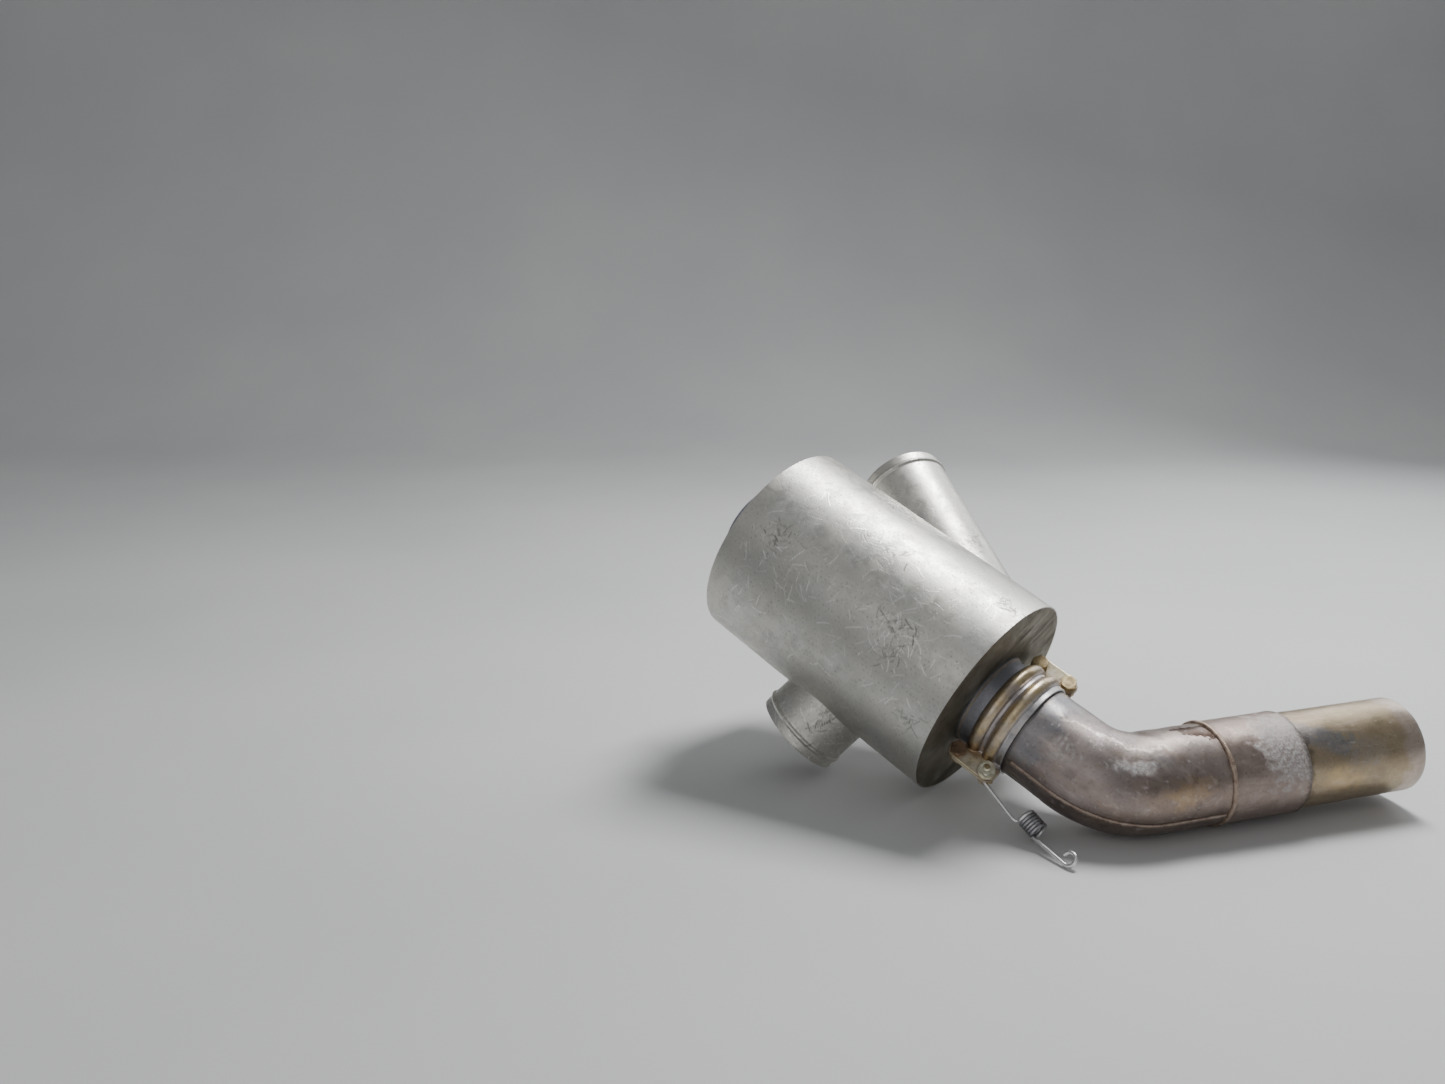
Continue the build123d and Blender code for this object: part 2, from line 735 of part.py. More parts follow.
def tail_tube(start, end, radius, wall):
    """A straight tube on the tail's axis."""
    with BuildPart() as tube:
        with BuildSketch(tail_plane(start)):
            Circle(radius)
            Circle(radius - wall, mode=Mode.SUBTRACT)
        extrude(amount=end - start)
    return tube.part


finish(tail_tube(ELBOW_TANGENT, SLEEVE_END, SLEEVE_RADIUS, SLEEVE_WALL), "tail_sleeve")
with BuildPart() as tail_pipe:
    add(tail_tube(TAIL_START, SLEEVE_END, TAIL_RADIUS - TAIL_NECK, TAIL_WALL - TAIL_NECK))
    add(tail_tube(SLEEVE_END, TAIL_END, TAIL_RADIUS, TAIL_WALL))
finish(tail_pipe.part, "tail_pipe")

with BuildPart() as girth_weld:
    with BuildSketch(Plane(tail_plane(ELBOW_TANGENT).origin, x_dir=bend_normal, z_dir=tail_inside)):
        with BuildLine():
            ThreePointArc(
                (PIPE_RADIUS, -GIRTH_WELD_HALF_WIDTH),
                (GIRTH_WELD_CROWN, 0),
                (SLEEVE_RADIUS, GIRTH_WELD_HALF_WIDTH),
            )
            Polyline(
                (SLEEVE_RADIUS, GIRTH_WELD_HALF_WIDTH),
                (SLEEVE_RADIUS, 0),
                (PIPE_RADIUS, 0),
                (PIPE_RADIUS, -GIRTH_WELD_HALF_WIDTH),
            )
        make_face()
    revolve(axis=Axis(bend_end, tail_direction))
finish(girth_weld.part, "girth_weld")

# ---- Hook spring on the reversed clamp bolt ----

spring_plane = Plane(
    place(0, 0, -ear_face - eye_space / 2), x_dir=axis_direction, z_dir=bolt_direction
)


def aside(point, distance, angle):
    """The point at a distance and an angle from another, in the spring's plane."""
    across = spring_plane.x_dir * cos(radians(angle)) + spring_plane.y_dir * sin(radians(angle))
    return point + across * distance


eye_centre = spring_plane.from_local_coords(Vector(*spring_bolt_spot))
leg_start = aside(eye_centre, EYE_RADIUS, LEG_ANGLE - 90)
leg_knee = aside(leg_start, LEG_LENGTH, LEG_ANGLE)
coil_centre = spring_plane.from_local_coords(Vector(*COIL_START))
coil_entry = aside(coil_centre, COIL_RADIUS, COIL_ANGLE - 90)
coil_height = COIL_TURNS * COIL_PITCH
coil_exit = aside(coil_entry, coil_height, COIL_ANGLE)
coil_plane = Plane(coil_centre, x_dir=coil_entry - coil_centre, z_dir=coil_exit - coil_entry)
hook_leg = (
    axis_direction * HOOK_LEG[0] + muffler_plane.y_dir * HOOK_LEG[1] + bolt_direction * HOOK_LEG[2]
)
hook_side = outward(HOOK_TURN)
hook_plane = Plane(coil_exit + hook_leg, x_dir=hook_leg, z_dir=hook_leg.cross(hook_side))

with BuildPart() as spring_coil:
    with BuildLine():
        turns = Helix(pitch=COIL_PITCH, height=coil_height, radius=COIL_RADIUS, lefthand=True)
    with BuildSketch(Plane(turns @ 0, z_dir=turns % 0)):
        Circle(WIRE_RADIUS)
    sweep(path=turns, is_frenet=True)

with BuildPart() as exhaust_spring:
    with BuildLine(spring_plane):
        eye = CenterArc(eye_centre, EYE_RADIUS, LEG_ANGLE - 90 - EYE_ARC, EYE_ARC)
        leg = FilletPolyline(eye @ 1, leg_knee, coil_entry, radius=KNEE_BEND_RADIUS)
    with BuildLine(hook_plane):
        hook_shank = Line((-hook_leg.length, 0), (0, 0))
        hook = JernArc((0, 0), (1, 0), HOOK_RADIUS, HOOK_ARC)
    for stretch in (eye, leg, hook_shank, hook):
        with BuildSketch(Plane(stretch @ 0, z_dir=stretch % 0)):
            Circle(WIRE_RADIUS)
        sweep(path=stretch)
    with Locations(coil_entry, coil_exit):
        Sphere(COIL_END_RADIUS)
    with Locations(coil_plane.location):
        add(spring_coil.part)
finish(exhaust_spring.part, "exhaust_spring")
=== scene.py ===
"""Looks for the exhaust muffler, its heat shroud, bead clamp, tailpipe and hook spring.

Lengths are in metres in the part's frame. The muffler's own frame has X along its axis from the
shroud's inlet rim, Y towards the clamp's upper ears and Z along the bolts. Angles round the axis
are counted from that Y.
"""

import json
import math
from math import cos, pi, radians, sin

import bmesh
import bpy
import numpy as np
from mathutils import Matrix, Vector

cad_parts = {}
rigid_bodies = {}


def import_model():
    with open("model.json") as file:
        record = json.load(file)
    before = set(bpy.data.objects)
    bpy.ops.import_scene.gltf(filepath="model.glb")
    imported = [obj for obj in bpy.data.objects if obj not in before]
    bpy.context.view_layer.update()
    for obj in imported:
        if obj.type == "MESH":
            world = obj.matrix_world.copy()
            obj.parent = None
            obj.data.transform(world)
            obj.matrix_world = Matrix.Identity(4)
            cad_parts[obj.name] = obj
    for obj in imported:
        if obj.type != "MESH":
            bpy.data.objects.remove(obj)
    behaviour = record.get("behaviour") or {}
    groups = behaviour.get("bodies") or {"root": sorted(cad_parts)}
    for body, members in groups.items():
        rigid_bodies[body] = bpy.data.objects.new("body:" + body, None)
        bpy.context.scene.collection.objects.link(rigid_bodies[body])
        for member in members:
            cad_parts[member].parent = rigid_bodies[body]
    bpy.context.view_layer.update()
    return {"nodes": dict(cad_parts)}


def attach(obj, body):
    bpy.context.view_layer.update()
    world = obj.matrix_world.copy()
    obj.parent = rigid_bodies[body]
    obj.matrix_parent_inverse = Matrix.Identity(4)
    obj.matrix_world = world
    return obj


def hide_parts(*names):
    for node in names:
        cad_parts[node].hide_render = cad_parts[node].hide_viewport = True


for thing in list(bpy.data.objects):
    bpy.data.objects.remove(thing)
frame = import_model()
scene = bpy.context.scene
MM = 0.001

# ---- Sizes and frames, as the CAD has them, in millimetres and degrees ----

RIM = Vector((-178.9, 76.4, 148.02)) * MM
HEADING, DIP, ROLL = -40.2, 24.2, 34.4
SHROUD_RADIUS, SHROUD_LENGTH, SHROUD_WALL = 72.75, 190.5, 0.8
PIPE_RADIUS, PIPE_WALL = 31.75, 1.2
SPUD_RADIUS, SPUD_WALL = 31.2, 0.8
ELBOW_BEAD = SHROUD_LENGTH + 27.2
COLLAR_END = SHROUD_LENGTH + 20.4
BEND_START = SHROUD_LENGTH + 67.5
BEND_RADIUS, BEND_ANGLE, BEND_TURN = 43.5, 60.3, -17.9
ELBOW_TANGENT = 42.7
SLEEVE_RADIUS, SLEEVE_WALL, SLEEVE_END = 32.5, 1.6, 98.7
TAIL_RADIUS, TAIL_START, TAIL_END = 30.75, 60.0, 187.3
BOLT_STATIONS, BOLT_REACH = (SHROUD_LENGTH + 9.5, SHROUD_LENGTH + 31.9), 42.0

turned = (
    Matrix.Rotation(radians(HEADING), 3, "Z")
    @ Matrix.Rotation(radians(DIP), 3, "Y")
    @ Matrix.Rotation(radians(ROLL), 3, "X")
)
muffler_frame = Matrix.Translation(RIM) @ turned.to_4x4()
AXIS, EAR, BOLT = (np.array(turned.col[i]) for i in range(3))


def place(x, y=0.0, z=0.0):
    """A point of the muffler's frame, given in millimetres, in the part's frame."""
    return np.array(RIM) + (AXIS * x + EAR * y + BOLT * z) * MM


def outward(turn):
    """The direction at an angle round the muffler's axis."""
    return EAR * cos(radians(turn)) + BOLT * sin(radians(turn))


def unit(v):
    """The vector at length one."""
    return np.asarray(v) / np.linalg.norm(v)


bend_in = outward(BEND_TURN)
bend_normal = np.cross(AXIS, bend_in)
bend_start = place(BEND_START)
bend = radians(BEND_ANGLE)
tail_axis = AXIS * cos(bend) + bend_in * sin(bend)
tail_in = np.cross(bend_normal, tail_axis)
bend_end = bend_start + (AXIS * sin(bend) + bend_in * (1 - cos(bend))) * BEND_RADIUS * MM
BEND_LENGTH = BEND_RADIUS * bend
TAIL_ZERO = BEND_START + BEND_LENGTH
tail_frame = Matrix.Translation(Vector(bend_end)) @ Matrix(
    [[tail_axis[i], tail_in[i], bend_normal[i]] for i in range(3)]
).to_4x4()


def pipe_path(s):
    """Centre, inside and normal directions along the tailpipe, at stations s in mm."""
    s = np.asarray(s, float)
    over = np.clip(s - BEND_START, 0, BEND_LENGTH) / BEND_RADIUS
    tangent = AXIS * np.cos(over)[:, None] + bend_in * np.sin(over)[:, None]
    inside = np.cross(bend_normal, tangent)
    centre = (
        bend_start
        + (AXIS * np.sin(over)[:, None] + bend_in * (1 - np.cos(over))[:, None]) * BEND_RADIUS * MM
        + AXIS * np.minimum(s - BEND_START, 0)[:, None] * MM
        + tail_axis * np.maximum(s - TAIL_ZERO, 0)[:, None] * MM
    )
    return centre, inside, np.tile(bend_normal, (len(s), 1))


# ---- Mesh helpers ----


def link_mesh(name, mesh):
    """A new object of a mesh, in the scene."""
    piece = bpy.data.objects.new(name, mesh)
    scene.collection.objects.link(piece)
    return piece


def smooth(mesh, sharp=None):
    """Smooth shading, with edges steeper than sharp degrees kept hard."""
    mesh.polygons.foreach_set("use_smooth", [True] * len(mesh.polygons))
    if sharp is not None:
        mesh.set_sharp_from_angle(angle=radians(sharp))


def make_object(name, points, faces):
    """A smooth mesh object from point and face arrays."""
    mesh = bpy.data.meshes.new(name)
    mesh.from_pydata(np.asarray(points).tolist(), [], np.asarray(faces).tolist())
    mesh.validate()
    smooth(mesh)
    return link_mesh(name, mesh)


def stand_for(piece, nodes, body, slot, *materials):
    """Puts a piece in the place of CAD nodes, on their body, with its materials; its slot is not used.
    """
    for material in materials:
        piece.data.materials.append(material)
    if nodes:
        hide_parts(*nodes)
    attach(piece, body)


def tube_points(path, s, angles, radius):
    """Points at stations s on a path, out by radius in mm at each angle in degrees."""
    centre, inside, normal = path(s)
    a = np.radians(angles)[..., None]
    return centre[:, None, :] + radius[..., None] * MM * (
        inside[:, None, :] * np.cos(a) + normal[:, None, :] * np.sin(a)
    )


def grid_faces(rows, columns, close_rows=False, close_columns=True):
    """Quads over a grid of points, with either direction closed on itself."""
    i = np.arange(rows if close_rows else rows - 1)
    j = np.arange(columns if close_columns else columns - 1)
    a, b = np.meshgrid(i, j, indexing="ij")
    c, d = (a + 1) % rows, (b + 1) % columns
    quads = np.stack([a * columns + b, a * columns + d, c * columns + d, c * columns + b], -1)
    return quads.reshape(-1, 4)


def paint(piece, name, values):
    """Stores one colour for each point."""
    layer = piece.data.color_attributes.new(name, "FLOAT_COLOR", "POINT")
    layer.data.foreach_set("color", np.asarray(values, np.float32).ravel())


INNER_STEP = 6.0


def shell(name, path, stations, outside, wall, turns, lift):
    """A thin straight-sided tube along a path with a real wall, closed at both rims.

    lift(s, turn) moves the wall out by millimetres. Returns the object, its grids of stations
    and turns, and which rows are on the inside.
    """
    keep = [0]
    for i in range(1, len(stations) - 1):
        if stations[i] - stations[keep[-1]] >= INNER_STEP:
            keep.append(i)
    keep.append(len(stations) - 1)
    n = len(stations)
    rim = wall * 0.25
    s = np.concatenate([stations, stations[keep][::-1]])
    r = np.full(len(s), float(outside))
    r[n:] -= wall
    r[0] -= rim
    r[n - 1] -= rim
    r[n] += rim * 0.5
    r[-1] += rim * 0.5
    s[1] = s[0] + min(rim, (s[1] - s[0]) * 0.5)
    s[n - 2] = s[n - 1] - min(rim, (s[n - 1] - s[n - 2]) * 0.5)
    grid, angles = np.meshgrid(s, turns, indexing="ij")
    radius = np.repeat(r[:, None], len(turns), 1) + lift(grid, angles)
    points = tube_points(path, s, angles, radius)
    faces = grid_faces(len(s), len(turns), close_rows=True)
    return make_object(name, points.reshape(-1, 3), faces), grid, angles, np.arange(len(s)) >= n


def spaced(low, high, step):
    """Evenly spaced stations, both ends included."""
    return np.linspace(low, high, max(2, int(round((high - low) / step)) + 1))


def around(radius, step):
    """Turns in degrees, about step millimetres apart on a circle."""
    count = int(round(2 * pi * radius / step))
    return np.arange(count) * 360.0 / count


def bump_noise(s, angles, radius, scale, seed, octaves=3):
    """A smooth seamless field over a tube, about -1 to 1, with features of scale millimetres."""
    rng = np.random.default_rng(seed)
    total = np.zeros_like(s)
    weight = 1.0
    size = scale
    for _ in range(octaves):
        field = np.zeros_like(s)
        waves = 14
        for _ in range(waves):
            direction = rng.uniform(0, 2 * pi)
            k = 2 * pi / size * rng.uniform(0.6, 1.4)
            around_k = round(k * sin(direction) * radius)
            field += np.sin(
                k * cos(direction) * s + around_k * np.radians(angles) + rng.uniform(0, 2 * pi)
            )
        total += weight * field / math.sqrt(waves / 2)
        weight *= 0.5
        size *= 0.5
    return total / 1.6


def wrapped(angles, middle):
    """The signed angle from middle, in degrees, within half a turn."""
    return (angles - middle + 180.0) % 360.0 - 180.0


def blob(s, angles, radius, at, turn, half_length, half_width, tilt=0.0, soft=1.0):
    """A soft-edged oval patch on a tube, 1 in the middle and 0 outside."""
    x = s - at
    y = np.radians(wrapped(angles, turn)) * radius
    c, d = cos(radians(tilt)), sin(radians(tilt))
    u = (x * c + y * d) / half_length
    v = (-x * d + y * c) / half_width
    return np.clip((1.0 - np.sqrt(u * u + v * v)) / soft + 0.5 * (soft < 1), 0, 1)


def scratches(s, angles, radius, count, seed, length, width, tilt=(-90, 90), within=None):
    """Short straight and slightly bent scratches on a tube's grid, 0 to 1."""
    rng = np.random.default_rng(seed)
    out = np.zeros_like(s)
    rows = s[:, 0]
    columns = angles[0]
    low, high = rows.min(), rows.max()
    for _ in range(count):
        if within is None:
            at, turn = rng.uniform(low, high), rng.uniform(0, 360)
        else:
            patch = within[rng.integers(len(within))]
            at = rng.normal(patch[0], patch[2])
            turn = rng.normal(patch[1], degrees_of(patch[3], radius))
        size = length[0] + (length[1] - length[0]) * rng.random() ** 2
        angle = radians(rng.uniform(*tilt))
        bow = rng.normal(0, 0.06) * size
        strength = rng.uniform(0.25, 1.0)
        thick = width * rng.uniform(0.7, 1.3)
        i = np.where(np.abs(rows - at) < size / 2 + 2 * width)[0]
        reach = degrees_of(size / 2 + 2 * width, radius)
        j = np.where(np.abs(wrapped(columns, turn)) < reach)[0]
        if len(i) == 0 or len(j) == 0:
            continue
        x = rows[i][:, None] - at
        y = np.radians(wrapped(columns[j], turn))[None, :] * radius
        u = x * cos(angle) + y * sin(angle)
        v = -x * sin(angle) + y * cos(angle)
        half = size / 2
        v = v - bow * (1 - (u / half) ** 2)
        mark = np.clip(1.2 - np.abs(v) / thick, 0, 1) * np.clip((half - np.abs(u)) / 1.2, 0, 1)
        part = out[np.ix_(i, j)]
        out[np.ix_(i, j)] = np.maximum(part, mark * strength)
    return out


def degrees_of(distance, radius):
    """A distance round a tube as an angle."""
    return math.degrees(distance / radius)


def wire(name, points, radius, sides):
    """A round wire along a list of points, with domed ends, and its length at each ring."""
    p = np.array(points, float)
    tangent = np.gradient(p, axis=0)
    tangent /= np.linalg.norm(tangent, axis=1)[:, None]
    normal = np.zeros_like(p)
    normal[0] = unit(np.cross(tangent[0], [0.3, 0.1, 0.95]))
    for i in range(1, len(p)):
        n = normal[i - 1] - tangent[i] * np.dot(normal[i - 1], tangent[i])
        normal[i] = unit(n)
    across = np.cross(tangent, normal)
    dome = (0.5, 1.0, 1.45)
    head = [p[0] - tangent[0] * radius * sin(a) for a in dome[::-1]]
    tail = [p[-1] + tangent[-1] * radius * sin(a) for a in dome]
    rings = np.array([*head, *p, *tail])
    shrunk = [radius * cos(a) for a in dome]
    radii = np.array([*shrunk[::-1], *[radius] * len(p), *shrunk])
    where = [0] * len(dome) + list(range(len(p))) + [len(p) - 1] * len(dome)
    turn = np.arange(sides) * 2 * pi / sides
    n, b = normal[where], across[where]
    points = rings[:, None, :] + radii[:, None, None] * (
        n[:, None, :] * np.cos(turn)[None, :, None] + b[:, None, :] * np.sin(turn)[None, :, None]
    )
    faces = grid_faces(len(rings), sides).tolist()
    count = len(rings) * sides
    faces.append(list(range(sides))[::-1])
    faces.append(list(range(count - sides, count)))
    mesh = bpy.data.meshes.new(name)
    mesh.from_pydata(points.reshape(-1, 3).tolist(), [], faces)
    smooth(mesh)
    return link_mesh(name, mesh), np.repeat(where, sides)


# ---- Materials ----

COLOUR_A, COLOUR_B, COLOUR_OUT = 6, 7, 2


class Surface:
    """A Principled material with short calls for the nodes it is made of."""

    def __init__(self, name, metallic, roughness, at):
        self.material = bpy.data.materials.new(name)
        self.material.use_nodes = True
        self.tree = self.material.node_tree
        self.sockets = self.tree.nodes["Principled BSDF"].inputs
        self.metal(metallic)
        self.rough(roughness)
        back = at.inverted()
        turn = self.node("Mapping", vector_type="POINT")
        turn.inputs["Location"].default_value = back.to_translation()
        turn.inputs["Rotation"].default_value = back.to_euler("XYZ")
        self.put(turn.inputs["Vector"], self.node("TexCoord").outputs["Object"])
        self.coordinates = turn.outputs["Vector"]

    def node(self, kind, inputs=(), **settings):
        """A new shader node with its settings, and its inputs as values or links."""
        node = self.tree.nodes.new("ShaderNode" + kind)
        for name, value in settings.items():
            setattr(node, name, value)
        for key, value in dict(inputs).items():
            self.put(node.inputs[key], value)
        return node

    def put(self, socket, value):
        """Links a socket to another, or sets its value or colour."""
        if isinstance(value, bpy.types.NodeSocket):
            self.tree.links.new(value, socket)
        elif isinstance(value, (tuple, list)) and len(value) == 3 and socket.type == "RGBA":
            socket.default_value = (*value, 1.0)
        else:
            socket.default_value = value

    def noise(self, scale, detail, rough, distortion=0.0, stretch=(1, 1, 1), offset=0.0):
        """A noise value; scale is in features per metre, stretch squeezes its axes."""
        shift = (offset, offset * 0.7, -offset)
        move = self.node("Mapping", {"Vector": self.coordinates, "Scale": stretch, "Location": shift})
        look = {"Scale": scale, "Detail": detail, "Roughness": rough, "Distortion": distortion}
        return self.node("TexNoise", {"Vector": move.outputs["Vector"], **look}).outputs["Fac"]

    def span(self, value, low, high, to_low=0.0, to_high=1.0):
        """Maps a range to another, smoothly and clamped."""
        ends = {"From Min": low, "From Max": high, "To Min": to_low, "To Max": to_high}
        node = self.node("MapRange", {"Value": value, **ends}, interpolation_type="SMOOTHSTEP")
        return node.outputs["Result"]

    def math(self, operation, a, b=0.5):
        return self.node("Math", {0: a, 1: b}, operation=operation).outputs[0]

    def times(self, a, b):
        return self.math("MULTIPLY", a, b)

    def ramp(self, value, stops):
        """A colour ramp; stops are (position, colour)."""
        node = self.node("ValToRGB", {"Fac": value})
        ramp = node.color_ramp
        while len(ramp.elements) < len(stops):
            ramp.elements.new(0.5)
        for element, (position, colour) in zip(ramp.elements, stops):
            element.position = position
            element.color = (*colour, 1.0)
        return node.outputs["Color"]

    def mix(self, factor, a, b):
        """Colour a turned into colour b by a factor."""
        colours = {"Factor": factor, COLOUR_A: a, COLOUR_B: b}
        return self.node("Mix", colours, data_type="RGBA").outputs[COLOUR_OUT]

    def painted(self, name):
        """The colour stored at the points under a name, and its three channels."""
        colour = self.node("Attribute", attribute_name=name).outputs["Color"]
        return colour, *self.node("SeparateColor", {0: colour}).outputs

    def radius(self):
        """The distance from the local X axis, in metres."""
        _, y, z = self.node("SeparateXYZ", {0: self.coordinates}).outputs
        return self.math("SQRT", self.math("ADD", self.times(y, y), self.times(z, z)))

    def colour(self, value):
        self.put(self.sockets["Base Color"], value)

    def rough(self, value):
        self.put(self.sockets["Roughness"], value)

    def metal(self, value):
        self.put(self.sockets["Metallic"], value)

    def bump(self, *layers):
        """Bumps from (height value, depth in metres) layers, each on top of the last."""
        below = {}
        for height, depth in layers:
            node = self.node("Bump", {"Strength": 1.0, "Distance": depth, "Height": height, **below})
            below = {"Normal": node.outputs["Normal"]}
        self.put(self.sockets["Normal"], below["Normal"])


# ---- Heat shroud: a fine outside skin, an inside skin, and the duct holes ----


def spud_mouth(station, turn, reach, lean):
    """The rim centre and direction of a spud that leans towards the inlet, from square."""
    direction = outward(turn) * cos(radians(lean)) - AXIS * sin(radians(lean))
    return place(station) + outward(turn) * reach * MM, direction


LOWER_MOUTH = spud_mouth(95.3, 211.3, 99.4, 12.5)
UPPER_MOUTH = spud_mouth(28.1, -1.8, 102.0, 65.0)
HOLE_RADIUS = 30.6
DEEPEST, HOLES_MIDDLE = 165, 60.0


def radial(points):
    """Station in mm, distance from the muffler's axis in mm and the outward unit vectors."""
    w = points - np.array(RIM)
    along = w @ AXIS
    out = w - along[:, None] * AXIS
    far = np.linalg.norm(out, axis=1)
    return along / MM, far / MM, out / far[:, None]


def shroud_skin(name, radius, step, lift):
    """One skin of the shroud, with a clean round edge at each duct hole."""
    s = spaced(0.0, SHROUD_LENGTH, step)
    turns = around(radius, step)
    stations, angles = np.meshgrid(s, turns, indexing="ij")
    a = np.radians(angles)[..., None]
    level = (radius + lift(stations, angles))[..., None]
    points = (
        np.array(RIM)
        + AXIS * stations[..., None] * MM
        + (EAR * np.cos(a) + BOLT * np.sin(a)) * level * MM
    ).reshape(-1, 3)
    faces = grid_faces(len(s), len(turns))
    for rim, direction in (LOWER_MOUTH, UPPER_MOUTH):
        w = points - rim
        depth = -(w @ direction) / MM
        far = np.linalg.norm(w + depth[:, None] * direction * MM, axis=1) / MM
        _, _, out = radial(points)
        inside = (far < HOLE_RADIUS) & (depth > 0) & (depth < DEEPEST) & (out @ direction > -0.2)
        inside &= out @ unit(rim - place(HOLES_MIDDLE)) > 0.2
        faces = faces[~inside[faces].all(1)]
        edge = np.zeros(len(points), bool)
        edge[np.unique(faces)] = True
        edge &= inside
        for _ in range(4):
            w = points[edge] - rim
            depth_here = (w @ direction)[:, None] * direction
            across = w - depth_here
            size = np.linalg.norm(across, axis=1)[:, None]
            moved = rim + depth_here + across / size * HOLE_RADIUS * MM
            x, _, out = radial(moved)
            points[edge] = np.array(RIM) + AXIS * x[:, None] * MM + out * radius * MM
    used = np.unique(faces)
    index = np.full(len(points), -1)
    index[used] = np.arange(len(used))
    return make_object(name, points[used], index[faces]), stations, angles, used


def rolled(s, angles):
    """How far the rolled sheet is off a true cylinder, in millimetres."""
    edge = np.minimum(s, SHROUD_LENGTH - s)
    slack = np.clip(edge / 18.0, 0.15, 1.0)
    wave = 0.10 * bump_noise(s, angles, SHROUD_RADIUS, 70.0, 5, 2)
    dents = (
        -0.55 * blob(s, angles, SHROUD_RADIUS, 79.0, 50.0, 17.0, 9.0, 12.0) ** 2
        - 0.35 * blob(s, angles, SHROUD_RADIUS, 139.0, 126.0, 15.0, 11.0, -20.0) ** 2
        - 0.30 * blob(s, angles, SHROUD_RADIUS, 40.0, 230.0, 22.0, 14.0, 30.0) ** 2
        - 0.25 * blob(s, angles, SHROUD_RADIUS, 150.0, 280.0, 20.0, 16.0, 0.0) ** 2
    )
    return np.minimum(slack * wave + dents, 0.12)


def join_skins(outer, inner, name):
    """Joins an outside and an inside skin along their matching open edges."""
    joined = bmesh.new()
    joined.from_mesh(outer.data)
    joined.from_mesh(inner.data)
    open_edges = {e for e in joined.edges if e.is_boundary}
    loops = []
    while open_edges:
        first = open_edges.pop()
        loop, front = [first], list(first.verts)
        while front:
            vertex = front.pop()
            for edge in vertex.link_edges:
                if edge in open_edges:
                    open_edges.remove(edge)
                    loop.append(edge)
                    front.append(edge.other_vert(vertex))
        middle = sum((v.co for e in loop for v in e.verts), Vector()) / (2 * len(loop))
        loops.append((middle, loop))
    while len(loops) > 1:
        middle, loop = loops.pop()
        near = min(range(len(loops)), key=lambda k: (loops[k][0] - middle).length)
        other = loops.pop(near)[1]
        bmesh.ops.bridge_loops(joined, edges=loop + other)
    bmesh.ops.recalc_face_normals(joined, faces=joined.faces)
    joined.to_mesh(outer.data)
    joined.free()
    smooth(outer.data, 50)
    outer.name = name
    bpy.data.objects.remove(inner)


def worn_sheet(s, angles, radius, seed, patches, scuffs, amount=1.0):
    """Scratch, scuff and stain strengths for a bare sheet, on a grid."""

    def lines(step, count, length, width, **where):
        return scratches(s, angles, radius, int(count * amount), seed + step, length, width, **where)

    def bumps(step, size, octaves):
        return bump_noise(s, angles, radius, size, seed + step, octaves)

    fine = lines(0, 420, (2.0, 11.0), 0.30)
    local = lines(1, 520, (1.5, 14.0), 0.34, within=patches)
    long_ones = lines(2, 46, (8.0, 34.0), 0.34, tilt=(-70, 70))
    dark = lines(3, 330, (1.5, 11.0), 0.44, within=scuffs)
    specks = np.clip((bumps(4, 3.0, 2) - 0.9) * 2.2, 0, 1)
    area = np.zeros_like(s)
    for at, turn, half, width in scuffs:
        area = np.maximum(area, blob(s, angles, radius, at, turn, half * 2.0, width * 2.0))
    ragged = np.clip((bumps(5, 5.0, 4) - 0.2) * 1.6, 0, 1)
    dark = np.maximum.reduce([dark, ragged * np.clip(area * 2.2 - 0.75, 0, 1) * 0.55, specks * 0.35])
    bright = np.maximum.reduce([fine * 0.45, local * 0.75, long_ones * 0.85])
    haze = np.clip(0.5 + 0.5 * bumps(6, 38.0, 3), 0, 1)
    return np.stack([bright, dark, haze, np.ones_like(s)], -1)


# Worn patches as (station in mm, turn in degrees, half length, half width in mm)
SCRATCHED = (
    (70.0, 100.0, 26.0, 30.0),
    (128.0, 106.0, 22.0, 26.0),
    (146.0, 118.0, 20.0, 20.0),
    (40.0, 128.0, 18.0, 22.0),
    (100.0, 240.0, 40.0, 60.0),
    (110.0, 320.0, 40.0, 60.0),
)
SCUFFED = (
    (62.0, 50.5, 8.0, 3.6),
    (80.0, 45.0, 9.0, 3.0),
    (141.0, 127.0, 5.0, 5.0),
    (137.0, 114.0, 10.0, 8.0),
    (173.0, 148.0, 8.0, 3.0),
    (176.0, 68.0, 6.0, 3.0),
    (32.0, 112.0, 8.0, 9.0),
    (96.0, 84.0, 9.0, 5.0),
    (60.0, 215.0, 12.0, 8.0),
    (130.0, 250.0, 14.0, 9.0),
    (90.0, 305.0, 12.0, 9.0),
)
STEP = 0.6

INSIDE_STEP = 2.4

shroud, s_grid, a_grid, kept = shroud_skin("shroud_outside", SHROUD_RADIUS, STEP, rolled)
wear = worn_sheet(s_grid, a_grid, SHROUD_RADIUS, 11, SCRATCHED, SCUFFED)
paint(shroud, "wear", wear.reshape(-1, 4)[kept])
lining, _, _, kept = shroud_skin(
    "shroud_inside", SHROUD_RADIUS - SHROUD_WALL, INSIDE_STEP, lambda s, a: np.zeros_like(s)
)
paint(lining, "wear", np.tile([0.0, 0.0, 0.5, 1.0], (len(kept), 1)))
join_skins(shroud, lining, "shroud_skin")


